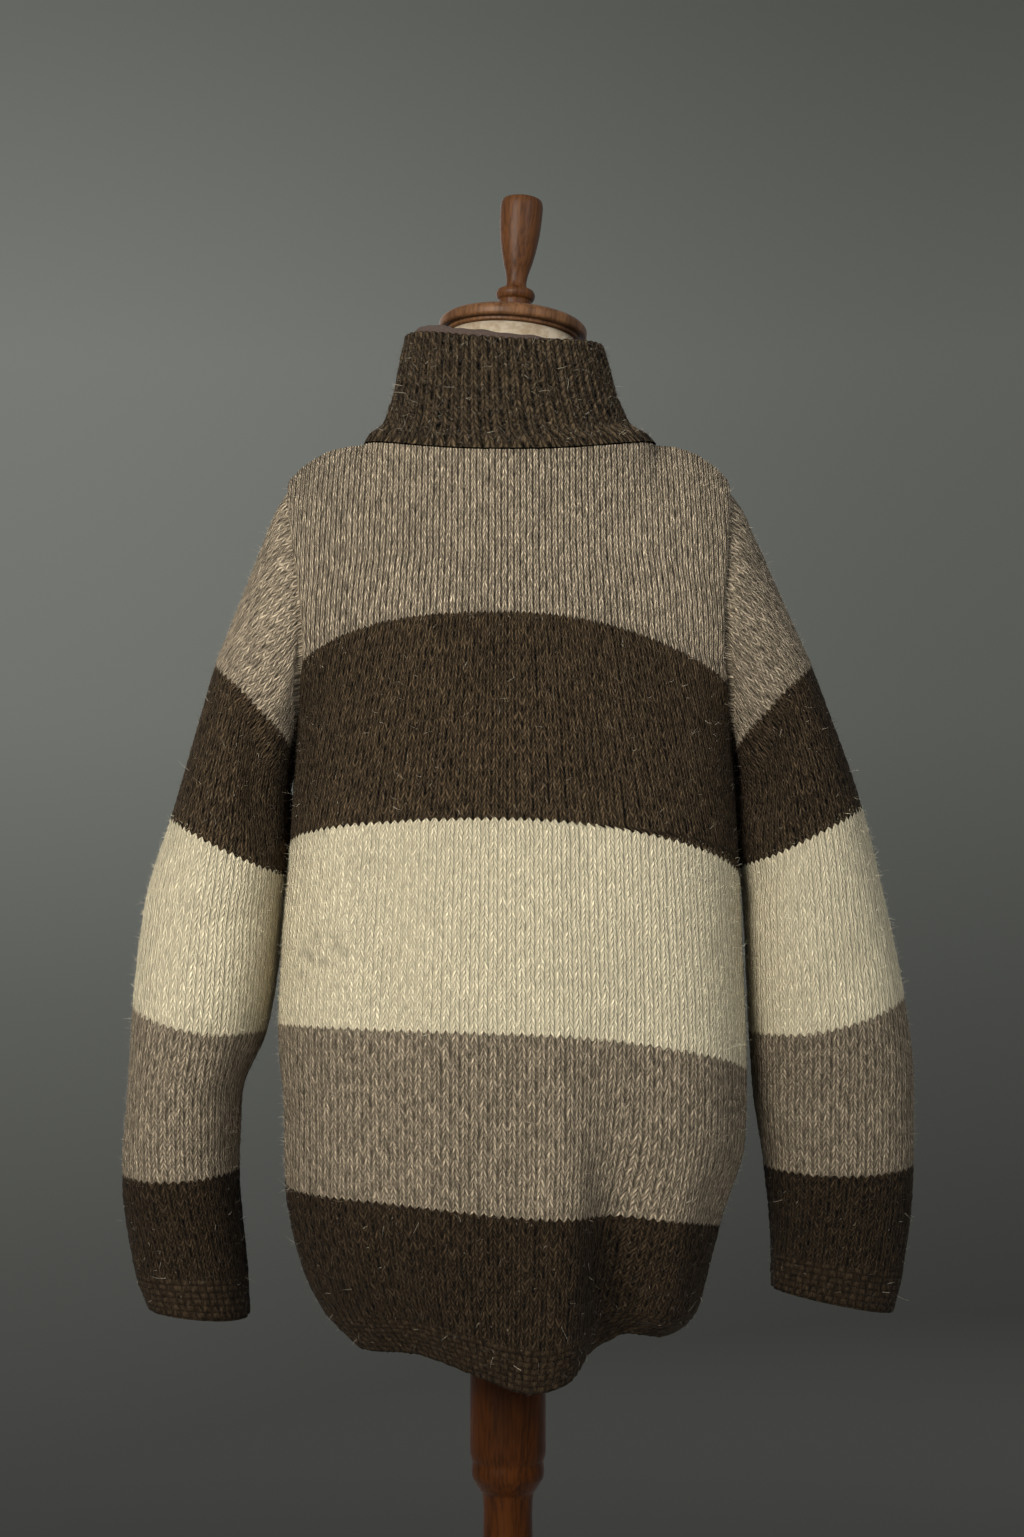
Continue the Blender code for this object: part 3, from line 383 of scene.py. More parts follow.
def collar_grid(heights, turns):
    """Inner surface of the collar: it laps the neck seam outside and leans in to its top."""
    low = neck_loop(turns)
    away = unit(low[:, :2] - (0.0, COLLAR_MIDDLE_Y))
    low = low + np.concatenate([away * COLLAR_CLEAR, np.full((len(turns), 1), COLLAR_LIFT)], axis=1)
    reach = collar_top(turns) - low
    insets = column(COLLAR_ROWS, "inset", heights, key="height")
    return np.array([low + reach * (inset, inset, height) for inset, height in zip(insets, heights)])


def collar_normals(grid):
    """Normals of the collar, whose free edges at the zip stay square to it."""
    normals = grid_normals(grid)
    normals[:, [0, -1], 0] = 0.0
    return unit(normals)


BAND_ROWS = (25, 51, 84, 115)
SLEEVE_BANDS = (23, 47, 74, 96)
BAND_COLOURS = ("dark_low", "taupe_low", "cream", "dark", "taupe")
SLEEVE_COLOURS = ("dark_low", "taupe_low", "cream", "dark", "taupe_arm")
Yarn = namedtuple("Yarn", "colour contrast flecks filled")
YARNS = {
    "taupe": Yarn((0.325, 0.262, 0.182), 1.15, 0.10, 0.10),
    "taupe_arm": Yarn((0.315, 0.254, 0.177), 1.00, 0.10, 0.85),
    "taupe_low": Yarn((0.262, 0.210, 0.145), 0.90, 0.10, 0.50),
    "dark": Yarn((0.052, 0.035, 0.019), 1.40, 0.70, 0.75),
    "dark_low": Yarn((0.028, 0.018, 0.0095), 1.20, 0.45, 0.90),
    "rib": Yarn((0.045, 0.031, 0.0172), 1.40, 0.60, 0.65),
    "cream": Yarn((0.740, 0.648, 0.445), 0.38, 0.0, 0.40),
}
FLECK = (0.20, 0.155, 0.10)
STAIN = (0.20, 0.17, 0.12)
GROOVE_LIGHT = 0.20     # brightness left in the grooves between stitches
MID_SHADE = 0.72        # brightness that a yarn's contrast leaves as it is
KNIT_RELIEF = 0.0024
LIP_ANGLES = (math.pi, 2.36, 1.57, 0.79)


def give(tree, slot, value):
    """Sets a node's input, or links it where the value is a socket or a field."""
    value = getattr(value, "socket", value)
    if isinstance(value, bpy.types.NodeSocket):
        tree.links.new(value, slot)
    elif value is not None:
        slot.default_value = (*value, 1.0) if slot.type == "RGBA" else value


def add_node(tree, kind, *values, **settings):
    """Adds a shader node with its settings, and gives the values to its first inputs."""
    made = tree.nodes.new("ShaderNode" + kind)
    for name, value in settings.items():
        setattr(made, name, value)
    for slot, value in zip(made.inputs, values):
        give(tree, slot, value)
    return made


class Field:
    """A number in a shader graph that can be added, multiplied and so on."""

    def __init__(self, tree, socket):
        self.tree, self.socket = tree, socket

    def ramp(self, low, high, out_low=0.0, out_high=1.0):
        """Smooth step from out_low at low to out_high at high."""
        made = add_node(self.tree, "MapRange", interpolation_type="SMOOTHSTEP")
        for slot, value in zip(made.inputs, (self, low, high, out_low, out_high)):
            give(self.tree, slot, value)
        return Field(self.tree, made.outputs["Result"])


def operation(kind):
    """A method of Field that puts one arithmetic node into the graph."""
    def apply(field, *values):
        return Field(field.tree, add_node(field.tree, "Math", field, *values, operation=kind).outputs[0])
    return apply


for method, kind in (("__add__", "ADD"), ("__sub__", "SUBTRACT"), ("__mul__", "MULTIPLY"),
                     ("__truediv__", "DIVIDE"), ("__pow__", "POWER"), ("fract", "FRACT"),
                     ("floor", "FLOOR"), ("absolute", "ABSOLUTE"), ("sine", "SINE"),
                     ("most", "MAXIMUM"), ("above", "GREATER_THAN")):
    setattr(Field, method, operation(kind))


def new_material(name, roughness, metallic=0.0):
    made = bpy.data.materials.new(name)
    made.use_nodes = True
    shader = made.node_tree.nodes["Principled BSDF"]
    shader.inputs["Roughness"].default_value = roughness
    shader.inputs["Metallic"].default_value = metallic
    return made, made.node_tree, shader


def fields_of(tree, vector):
    """The three coordinates of a vector."""
    return [Field(tree, out) for out in add_node(tree, "SeparateXYZ", vector).outputs]


def noise(tree, x, y, z, scale=1.0, detail=2.0, roughness=0.5):
    """Soft noise read at a place given by three fields or numbers."""
    place = add_node(tree, "CombineXYZ", x, y, z).outputs[0]
    made = add_node(tree, "TexNoise", place)
    for name, value in (("Scale", scale), ("Detail", detail), ("Roughness", roughness)):
        made.inputs[name].default_value = value
    return Field(tree, made.outputs["Fac"])


def mixed(tree, factor, first, second, blend="MIX"):
    """Colour mix: first and second are sockets or colours."""
    made = add_node(tree, "Mix", factor, data_type="RGBA", blend_type=blend)
    give(tree, made.inputs[6], first)
    give(tree, made.inputs[7], second)
    return made.outputs[2]


def grey(tree, value):
    """A field as a grey colour."""
    return add_node(tree, "CombineColor", value, value, value).outputs[0]


def surfaced(tree, shader, colour, height, distance, strength=1.0):
    """Gives a shader its colour, and its relief by a bump."""
    bump = add_node(tree, "Bump")
    for slot, value in ((shader.inputs["Base Color"], colour), (bump.inputs["Height"], height),
                        (bump.inputs["Distance"], distance), (bump.inputs["Strength"], strength),
                        (shader.inputs["Normal"], bump.outputs[0])):
        give(tree, slot, value)


def stitch_fields(tree):
    """u and v in stitches, from the mesh's UVs."""
    return fields_of(tree, add_node(tree, "UVMap", uv_map="stitches").outputs[0])[:2]


def knit_material(name, bands, colours, border, leg_rise=1.25, centre_dip=0.40, painted_shade_factor=1.0,
                  drop=None, stains=()):
    """Stocking stitch seen as columns of inverted V's, in bands of colour by row.

    bands are the rows where the colour changes, colours one more than that, and border is
    the number of rows of moss stitch at the start.
    """
    made, tree, shader = new_material(name, 1.0)
    shader.inputs["Specular IOR Level"].default_value = 0.08
    u, v = stitch_fields(tree)
    # A wandering of the yarn, so that no column is quite straight
    wander = noise(tree, u * 0.35, v * 0.30, 3.0) - 0.5
    jitter = noise(tree, u * 1.3, v * 1.1, 7.0) - 0.5
    uu = u + wander * 0.35 + jitter * 0.22
    vv = v + jitter * 0.35
    away = (uu.fract() - 0.5).absolute()
    lean = vv + away * (2 * leg_rise)
    leg = (lean.fract() * math.pi).sine().most(0.001) ** 0.55
    # Yarn by row, the change following the stitches
    row = vv + away * leg_rise + 0.4
    if drop:
        row = row + u.ramp(*drop)
    row = row.floor()
    base, traits = YARNS[colours[0]].colour, YARNS[colours[0]][1:]
    for edge, yarn in zip(bands, (YARNS[colour] for colour in colours[1:])):
        after = row.above(edge - 0.5)
        base = mixed(tree, after, base, yarn.colour)
        traits = mixed(tree, after, traits, yarn[1:])
    contrast, flecks, filled = (Field(tree, out) for out in add_node(tree, "SeparateColor", traits).outputs)
    depth = noise(tree, uu * 0.9, vv * 0.8, 6.0).ramp(0.35, 0.65, 1.0, 0.0)
    groove = away.ramp(0.26, 0.48, 1.0, 0.0).most(depth * filled)
    centre = away.ramp(0.0, 0.15, centre_dip, 1.0)
    height = (leg * 0.75 + 0.25) * groove * centre
    if border:
        pearl_side = ((u.floor() + v.floor()) * 0.5).fract().ramp(0.2, 0.3)
        pearl = (uu.fract() * math.pi).sine() * (vv.fract() * math.pi).sine()
        moss = pearl.most(0.001) ** 0.5 * (pearl_side * 0.30 + 0.40) + 0.22
        inside = v.ramp(border - 0.4, border + 0.4)
        height = height * inside + moss * (inside * -1.0 + 1.0)
    # Tweed: the single yarns differ in lightness from stitch to stitch and along the fibre
    per_stitch = noise(tree, uu * 1.9, lean, 11.0, detail=1.0)
    fibre = noise(tree, uu * 9.0, lean * 3.0, 5.0, detail=3.0, roughness=0.7)
    broad = noise(tree, u * 0.06, v * 0.05, 1.0, detail=3.0)
    leg_place = add_node(tree, "CombineXYZ", (uu * 2.0).floor(), lean.floor())
    leg_tone = Field(tree, add_node(tree, "TexWhiteNoise", leg_place.outputs[0]).outputs["Value"])
    shade = per_stitch.ramp(0.30, 0.70, 0.70, 1.30) * fibre.ramp(0.32, 0.70, 0.52, 1.50)
    # Painted shade: the factor darkens all of a yarn, for a sleeve that hangs in shade
    shade = shade * broad.ramp(0.25, 0.75, 0.92, 1.08) * (leg_tone * (0.60 * painted_shade_factor) + 0.70 * painted_shade_factor)
    # Painted shade: the colour darkens with the stitches' height, in the grooves between the columns and
    # between the legs of the V's
    shade = shade * (height + GROOVE_LIGHT)
    shade = (shade - MID_SHADE) * contrast + MID_SHADE
    curl = noise(tree, uu * 5.0, vv * 5.0, 8.0, detail=4.0, roughness=0.8)
    colour = mixed(tree, 1.0, base, grey(tree, shade), "MULTIPLY")
    colour = mixed(tree, curl.ramp(0.58, 0.70) * flecks, colour, FLECK)
    if stains:
        blotch = noise(tree, u * 0.5, v * 0.4, 9.0, detail=3.0).ramp(0.42, 0.60)
    for place_u, place_v, wide, high, strength in stains:
        du = (u - place_u) / wide
        dv = (v - place_v) / high
        near = (du * du + dv * dv).ramp(0.2, 1.0, strength, 0.0)
        colour = mixed(tree, near * blotch, colour, STAIN)
    fuzz = noise(tree, uu * 6.0, vv * 6.0, 0.0, detail=3.0, roughness=0.75)
    surfaced(tree, shader, colour, height + fuzz * 0.45, KNIT_RELIEF)
    return made


def placed(name, mesh, material):
    """The object of a finished mesh, riding on the garment."""
    mesh.materials.append(material)
    made = bpy.data.objects.new(name, mesh)
    bpy.context.scene.collection.objects.link(made)
    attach(made, GARMENT)
    return made


def grid_object(name, points, stitches, material, flip=False):
    """A sheet of quads through a grid of points; stitches holds its UVs, point by point."""
    index = np.arange(points[:, :, 0].size).reshape(points.shape[:2])
    quads = np.stack([index[:-1, :-1], index[:-1, 1:], index[1:, 1:], index[1:, :-1]], axis=2)
    quads = quads.reshape(-1, 4)
    corners = (quads[:, ::-1] if flip else quads).reshape(-1).astype(np.int32)
    mesh = bpy.data.meshes.new(name)
    mesh.vertices.add(index.size)
    mesh.vertices.foreach_set("co", points.reshape(-1))
    mesh.loops.add(corners.size)
    mesh.loops.foreach_set("vertex_index", corners)
    mesh.polygons.add(len(quads))
    mesh.polygons.foreach_set("loop_start", np.arange(0, corners.size, 4, dtype=np.int32))
    mesh.update(calc_edges=True)
    layer = mesh.uv_layers.new(name="stitches")
    layer.data.foreach_set("uv", stitches.reshape(-1, 2)[corners].reshape(-1).astype(np.float32))
    mesh.shade_smooth()
    return placed(name, mesh, material)


class Cloth:
    """A grid of points with its outward normals and stitch coordinates."""

    def __init__(self, points, normals, stitches):
        self.points, self.normals, self.stitches = points, normals, stitches

    def raised(self, amount):
        self.points = self.points + self.normals * amount[:, :, None]
        return self

    def lipped(self, axis, at_end, thickness=WALL, keep=(4, 10, 24)):
        """Rolls one free edge round to the inside of the cloth."""
        def edge_first(values):
            values = np.swapaxes(values, 0, 1) if axis else values
            return values[::-1] if at_end else values

        def restored(values):
            values = values[::-1] if at_end else values
            return np.ascontiguousarray(np.swapaxes(values, 0, 1) if axis else values)

        points, normals, stitches = map(edge_first, (self.points, self.normals, self.stitches))
        inward = unit(points[1] - points[0])
        rows = [points[k] - normals[k] * thickness for k in keep[::-1]]
        ways = [-normals[k] for k in keep[::-1]]
        marks = [2 * stitches[0] - stitches[k] for k in keep[::-1]]
        for angle in LIP_ANGLES:
            down, aside = 1 - math.cos(angle), math.sin(angle)
            rows.append(points[0] - (normals[0] * down + inward * aside) * (thickness / 2))
            ways.append(normals[0] * math.cos(angle) - inward * aside)
            marks.append(stitches[0] - (stitches[1] - stitches[0]) * angle * 0.35)
        self.points, self.normals, self.stitches = (
            restored(np.concatenate([np.array(new), old])) for new, old in
            ((rows, points), (ways, normals), (marks, stitches)))
        return self

    def seam(self, axis, at_end, depths=(0.0030, 0.0018, 0.0007)):
        """Draws an edge in towards the inside, as a sewn seam does."""
        for k, depth in enumerate(depths):
            place = (-1 - k) if at_end else k
            at = (slice(None), place) if axis else place
            self.points[at] -= self.normals[at] * depth
        return self

    def made(self, name, material, flip=False):
        return grid_object(name, self.points, self.stitches, material, flip)


def stitch_relief(stitches, high):
    """Columns stand proud in their middles, and nothing in hand knitting is quite even."""
    columns = np.abs(np.sin(math.pi * stitches[:, :, 0])) - 0.5
    return columns * high * 2 + RANDOM.normal(0.0, UNEVEN, columns.shape)


WALES = 37              # columns of stitches across half the back, or one front
WALES_END = 84          # row above which their number follows the widths below
# Width of a column at a row
WALE_WIDTHS = ((84, 0.0065), (101, 0.0057), (115, 0.0050), (125, 0.00485))
BODY_STEPS = np.linspace(0.0, TOP, TOP * 2 + 1)
HALF_SHARES = np.linspace(0.0, 1.0, WALES * 2 + 1)
COLUMN_RELIEF = 0.0004  # height of a column of stitches
UNEVEN = 0.00022        # spread of the single stitches' heights
EDGE_ROUND = (0.0026, 0.0004)   # how far the outermost stitches roll under at a seam


def wales_of(points):
    """Columns of stitches counted from a panel's middle, at each of its points.

    They narrow upward past the armhole, and over the shoulders they run straight up.
    """
    length = run_of(points, axis=1)
    width = np.interp(BODY_STEPS, *zip(*WALE_WIDTHS))
    at_edge = np.where(BODY_STEPS > WALES_END, length[:, -1] / width, WALES)
    wales = length / length[:, -1:] * at_edge[:, None]
    last = WALE_WIDTHS[-1][0] * 2
    places, counts = np.abs(points[last, :, 0]), wales[last]
    beyond = (counts[-1] - counts[-9]) / (places[-1] - places[-9])
    for row in range(last + 1, len(points)):
        out = np.abs(points[row, :, 0])
        wales[row] = np.interp(out, places, counts) + np.maximum(out - places[-1], 0) * beyond
    return wales


# Soft creases of the body, each by its places: row, x, half its width, height
BACK_FOLDS = (
    ((0, -0.090, 0.028, -0.019), (20, -0.083, 0.027, -0.016), (40, -0.072, 0.025, -0.009),
     (62, -0.062, 0.020, 0.0)),
    ((0, -0.130, 0.018, 0.003), (30, -0.118, 0.018, 0.002), (48, -0.110, 0.018, 0.0)),
    ((0, -0.040, 0.022, 0.003), (24, -0.040, 0.022, 0.003), (45, -0.040, 0.022, 0.0)),
    ((46, 0.086, 0.017, 0.0), (58, 0.088, 0.017, -0.0035), (78, 0.092, 0.017, -0.0035),
     (92, 0.096, 0.017, 0.0)),
    ((44, 0.122, 0.020, 0.0), (60, 0.124, 0.020, 0.002), (80, 0.124, 0.020, 0.002), (92, 0.124, 0.020, 0.0)),
    ((0, 0.078, 0.030, -0.004), (20, 0.078, 0.030, -0.003), (42, 0.082, 0.030, 0.0)),
    ((56, -0.060, 0.018, 0.0), (70, -0.060, 0.018, -0.0025), (88, -0.058, 0.018, -0.002),
     (102, -0.056, 0.018, 0.0)),
)
FRONT_FOLDS = (
    ((0, 0.085, 0.024, -0.008), (24, 0.080, 0.024, -0.006), (50, 0.072, 0.020, 0.0)),
    ((0, -0.070, 0.022, -0.006), (20, -0.074, 0.022, -0.005), (44, -0.080, 0.020, 0.0)),
    ((50, 0.110, 0.018, 0.0), (66, 0.106, 0.018, -0.003), (84, 0.100, 0.018, 0.0)),
    ((48, -0.104, 0.018, 0.0), (62, -0.108, 0.018, -0.003), (88, -0.112, 0.018, 0.0)),
)


def body_cloth(points, normals, wales, folds):
    """A panel of the body with its stitches, the columns' relief below the armholes and its folds."""
    steps = BODY_STEPS[:, None]
    stitches = np.stack((wales, np.broadcast_to(steps, wales.shape)), axis=2)
    relief = stitch_relief(stitches, np.where(steps <= WALES_END, COLUMN_RELIEF, 0.0))
    for fold in folds:
        rows, *traits = zip(*fold)
        place, width, height = (np.interp(steps, rows, values) for values in traits)
        height = np.where(steps > rows[-1], 0.0, height)
        relief += height * np.exp(-((points[:, :, 0] - place) / width) ** 2)
    return Cloth(points, normals, stitches).raised(relief)


def make_back(material):
    points = np.array([np.concatenate([body_row(course, -1, 1, HALF_SHARES)[::-1],
                                       body_row(course, 1, 1, HALF_SHARES)[1:]])
                       for course in BODY_STEPS])
    middle = len(HALF_SHARES) - 1
    wales = np.concatenate((-wales_of(points[:, middle::-1])[:, :0:-1], wales_of(points[:, middle:])), axis=1)
    cloth = body_cloth(points, -grid_normals(points), wales, BACK_FOLDS)
    cloth.seam(1, False, EDGE_ROUND).seam(1, True, EDGE_ROUND).lipped(0, False)
    return cloth, cloth.made("knit_back", material, flip=True)


def make_front(side, material):
    points = np.array([body_row(course, side, -1, HALF_SHARES) for course in BODY_STEPS])
    wales = side * (wales_of(points) + 0.001)
    cloth = body_cloth(points, grid_normals(points) * side, wales, FRONT_FOLDS)
    cloth.seam(1, True, EDGE_ROUND).lipped(0, False).lipped(1, False, keep=(2, 4))
    return cloth, cloth.made(f"knit_front_{SIDES[side]}", material, flip=side < 0)


TURN_PARTS = 120        # parts of a ring of a sleeve
HEAD_PARTS = 60         # rings of its head
ARMHOLE_PARTS = 84      # parts of half an armhole
SLEEVE_TURNS = np.linspace(-0.5, 0.5, TURN_PARTS + 1)
CUFF_COLUMNS = 48
TUCK_IN = 0.0035        # how far a sleeve's head reaches past the armhole's edge
TUCK_UNDER = 0.0045     # and how deep below it
# Depth of the head's last rings under its own surface, from the seam down
HEAD_DIP = (0.0048, 0.0046, 0.0040, 0.0034, 0.0028, 0.0022, 0.0016, 0.0011, 0.0007, 0.0003)
HEAD_COLUMNS = 66
HEAD_ROWS = 18          # rows that the folds count in a sleeve's head
HEAD_LEAN = 0.5         # how far the head's columns keep to the arm's direction
UNDERARM_RISE = -4.5    # rows by which the bands near the underarm are raised
UNDERARM_ROWS = (70.0, 98.0)    # rows over which that begins


def armhole(side):
    """The armhole seam at the sleeve's turns, from the underarm round by the front.

    Gives its points and the same line tucked under the edge of the body's panels.
    """
    courses = np.linspace(UNDERARM, TOP, ARMHOLE_PARTS + 1)
    edges, tucks = {}, {}
    for face in (1, -1):
        ends = np.array([body_row(c, side, face, np.array([0.96, 1.0])) for c in courses])
        edges[face] = ends[:, 1]
        inward = unit(ends[:, 0] - ends[:, 1])
        out = unit(np.cross(np.gradient(ends[:, 1], axis=0), inward))
        out *= np.sign(out[0, 1]) * face
        tucks[face] = ends[:, 1] + inward * TUCK_IN - out * TUCK_UNDER
    loop, tuck = (np.concatenate([lines[-1], lines[1][::-1][1:]]) for lines in (edges, tucks))
    # Shares of the loop as the part takes them: the shoulder lies at turn 0
    length = run_of(loop)
    turns = length / length[-1] - length[ARMHOLE_PARTS] / length[-1]
    turns = np.where(turns < 0, turns / -turns[0], turns / turns[-1]) * 0.5
    return [np.stack([np.interp(SLEEVE_TURNS, turns, values) for values in line.T], axis=1)
            for line in (loop, tuck)]


def sleeve_folds(side, courses):
    """Outward push of the soft troughs and ridges that are laid on a sleeve."""
    turns, rows = SLEEVE_TURNS[None, :], courses[:, None]
    push = 0.0
    for row, turn, slant, high, wide, depth in SLEEVE_FOLDS[side]:
        across = (rows - row - slant * (turns - turn)) / high
        along = (turns - turn) / wide
        push = push + depth * np.exp(-across ** 2 - along ** 2)
    return push


# Row, turn, slant in rows a turn, half height in rows, half width in turns, depth
SLEEVE_FOLDS = {
    1: (
        (101, -0.34, 20, 4.0, 0.13, -0.0050),
        (88, 0.33, -24, 9.0, 0.085, -0.0100),
        (84, -0.30, 30, 3.5, 0.12, -0.0040),
        (62, 0.27, 30, 3.0, 0.12, -0.0022),
        (45, 0.30, -18, 2.6, 0.12, -0.0020),
        (24, 0.24, 10, 3.0, 0.20, -0.0012),
        (82, 0.50, 0, 12.0, 0.10, 0.0030),
        (82, -0.50, 0, 12.0, 0.10, 0.0030),
    ),
    -1: (
        (90, 0.33, -26, 9.0, 0.085, -0.0100),
        (90, -0.32, 22, 4.0, 0.12, -0.0045),
        (72, 0.34, -30, 3.5, 0.12, -0.0035),
        (52, 0.26, -24, 3.0, 0.12, -0.0024),
        (36, 0.28, 18, 2.6, 0.12, -0.0020),
        (20, 0.22, -8, 3.0, 0.20, -0.0012),
        (84, 0.50, 0, 12.0, 0.10, 0.0055),
        (84, -0.50, 0, 12.0, 0.10, 0.0055),
    ),
}


def make_sleeve(side, material):
    """A sleeve: level rings up the arm, then a head that reaches under the armhole's edge."""
    last = SLEEVE_ROWS[side][-1].course
    courses = np.linspace(0.0, last, last * 2 + 1)
    head = len(courses)
    rings = [sleeve_ring(side, c, SLEEVE_TURNS) for c in courses]
    low = rings[-1]
    high, under = armhole(side)
    middle = (low + high) / 2
    away = unit(middle - middle.mean(axis=0))
    outward = np.clip(np.cos(SLEEVE_TURNS * 2 * math.pi), 0, 1)[:, None]
    steps = np.linspace(0.0, 1.0, HEAD_PARTS + 1)[1:]
    rings += [low + (high - low) * t + away * outward * CAP_CREST * math.sin(math.pi * t) for t in steps]
    points = np.array(rings)
    normals = grid_normals(points) * side
    # Rows in the head run parallel to the plane of the last level ring
    centre = low[:-1].mean(axis=0)
    up = unit(np.cross(low[TURN_PARTS // 4] - centre, low[TURN_PARTS // 2] - centre))
    up *= np.sign(up[2])
    rows = np.empty(points.shape[:2])
    rows[:head] = courses[:, None]
    rows[head:] = last + np.clip((points[head:] - centre) @ up, 0.0, None) / COURSE
    columns = CUFF_COLUMNS + (HEAD_COLUMNS - CUFF_COLUMNS) * np.clip(rows.mean(axis=1) / last, 0, 1)
    length = run_of(points, axis=1)
    share = length / length[:, -1:]
    share -= share[:, TURN_PARTS // 2, None]
    share[head:] = share[head - 1]
    stitches = np.stack([share * columns[:, None], rows], axis=2)
    # Its columns run on along the arm and end at the seam
    outer = np.cross((0.0, side, 0.0), up)
    width = length[head - 1, -1] / columns[head - 1]
    stitches[head:, :, 0] -= (points[head:] - low) @ outer / width * normals[head:, :, 1] * HEAD_LEAN
    # Towards the underarm the rows lie higher than the rings of the sleeve
    inner = smooth_step(0.05, 0.38, np.abs(SLEEVE_TURNS))
    stitches[:, :, 1] += UNDERARM_RISE * inner * smooth_step(*UNDERARM_ROWS, rows)
    push = sleeve_folds(side, np.concatenate([courses, last + steps * HEAD_ROWS]))
    cloth = Cloth(points, normals, stitches).raised(stitch_relief(stitches, 0.0) + push)
    cloth.seam(0, True, HEAD_DIP).seam(1, False).seam(1, True)
    cloth.points[-1] = under
    cloth.lipped(0, False)
    return cloth, cloth.made(f"knit_sleeve_{SIDES[side]}", material, flip=side < 0)


COLLAR_SEAM = 0.07      # share of the collar's height that rolls in to its seam
COLLAR_COURSES = 17.5
COLLAR_PARTS = 36
RIB_PARTS = 8
RIB_UNEVEN = 0.00028
RIM_ANGLES = (0.5, 1.0, 1.57, 2.2, 3.14)
RIM_ROWS = (34, 30, 20)  # rows that the rim's inside reaches down to


def make_collar(material):
    """The collar: ribs raised over its plain inner surface, and a rounded rim."""
    turns = np.linspace(0.0, 1.0, RIBS * RIB_PARTS + 1)
    heights = np.linspace(0.0, 1.0, COLLAR_PARTS + 1)
    inner = collar_grid(heights, turns)
    ribs = turns * RIBS
    wander = 0.16 * np.sin(heights[:, None] * 9 + ribs[None, :] * 0.9) * np.sin(ribs * 0.37 + 1.0)
    profile = np.abs(np.sin(math.pi * (ribs + wander))) ** 0.8
    wave = RANDOM.normal(0.0, RIB_UNEVEN, profile.shape)
    rise = WALL * 0.75 + (RIB_HEIGHT + WALL * 0.25) * profile + wave
    rise *= 1 - 0.85 * (1 - smooth_step(0.0, COLLAR_SEAM, heights))[:, None] ** 1.5
    outer = inner + collar_normals(inner) * rise[:, :, None]
    stitches = np.stack(np.meshgrid(ribs, heights * COLLAR_COURSES), axis=2)
    # The rim: each rib rounds over to the plain inside
    points, marks = list(outer), list(stitches)
    for angle in RIM_ANGLES:
        up = (0.0, 0.0, 1.0) * (0.0002 + 0.0012 * profile[-1][:, None]) * math.sin(angle)
        points.append(inner[-1] + (outer[-1] - inner[-1]) * (1 + math.cos(angle)) / 2 + up)
        marks.append(stitches[-1] + (0.0, angle * 0.4))
    for k in RIM_ROWS:
        points.append(inner[k])
        marks.append(stitches[-1] + (0.0, 1.3 + (COLLAR_PARTS - k) * 0.4))
    points, marks = np.array(points), np.array(marks)
    return Cloth(points, grid_normals(points), marks), grid_object("knit_collar", points, marks, material)


def curve_points(points, parts):
    """A smooth line through points, each interval cut into parts."""
    points = np.asarray(points, float)
    length = run_of(points)
    at = refine(list(length), parts)
    return np.stack([curve_through(length, values, at) for values in points.T], axis=1)


def refine(steps, parts):
    """Each interval of a list of numbers, cut into equal parts."""
    fine = [a + (b - a) * k / parts for a, b in zip(steps, steps[1:]) for k in range(parts)]
    return np.array(fine + [steps[-1]])


FACING_START = 0.040
FACING_DROP = 0.65
FACING_PARTS = 420
FACING_THREADS = (520, 34)
FACING_CLEAR = 0.0006   # from the collar's inside to the facing
FacingRow = namedtuple("FacingRow", "height inset rise")
FACING_ROWS = [FacingRow(*row) for row in (
    (0.60, 0.0, 0.0),
    (0.80, 0.0, 0.0),
    (1.00, 0.0, 0.0008),
    (1.00, 0.0015, 0.0050),
    (1.00, 0.0060, 0.0085),
    (1.00, 0.0120, 0.0092),
)]


def make_facing(material):
    """Soft cloth inside the collar that stands above its top edge and rolls inward."""
    turns = np.linspace(FACING_START, 1 - FACING_START, FACING_PARTS + 1)
    heights = np.array([0.60, 0.70, 0.80, 0.90, 1.0])
    side = collar_grid(heights, turns)
    normals = collar_normals(side)
    stands = 1.0 - FACING_DROP * smooth_step(-0.2, 0.9, -side[-1, :, 0] / COLLAR_TOP_HALF)
    angle = turns * 2 * math.pi
    wave = 0.0007 * np.sin(angle * 11 + 0.7) + 0.0005 * np.sin(angle * 23 + 2.0)
    rows = []
    for row in FACING_ROWS:
        at = int(np.argmin(np.abs(heights - row.height)))
        inward = normals[at] * (1.0, 1.0, 0.0)
        place = side[at] - inward * (FACING_CLEAR + row.inset + wave * (row.rise > 0.001))[:, None]
        place[:, 2] += row.rise * stands + wave * (row.rise > 0.004)
        rows.append(place)
    fine = np.stack([curve_points(line, 6) for line in np.swapaxes(rows, 0, 1)], axis=1)
    threads = turns * FACING_THREADS[0], np.linspace(0, 1, len(fine)) * FACING_THREADS[1]
    cloth = Cloth(fine, grid_normals(fine), np.stack(np.meshgrid(*threads), axis=2))
    cloth.lipped(0, True, thickness=FACING_WALL, keep=(3, 6))
    return cloth.made("facing_cloth", material)


# Zip
TOOTH_PITCH = 0.0025
TWILL_PITCH = 0.0006
TAPE_BEHIND = WALL + 4 * GAP    # from the outside of the cloth in to a tape
# Across a tape: distance from the middle of the zip, height over its face
TAPE_LINE = ((0.0012, 0.0004), (0.0020, 0.0011), (0.0028, 0.0011), (0.0036, 0.0002),
             (0.0050, 0.0), (0.0075, 0.0), (TAPE_HALF, 0.0))
# A tooth's stem and head: from x to x, half height, half depth
TOOTH_BLOCKS = ((0.0030, 0.0008, 0.00055, 0.0013), (0.0010, -0.0006, 0.00075, 0.0010))
BLOCK_FACES = ((0, 1, 2, 3), (7, 6, 5, 4), (0, 4, 5, 1), (1, 5, 6, 2), (2, 6, 7, 3), (3, 7, 4, 0))


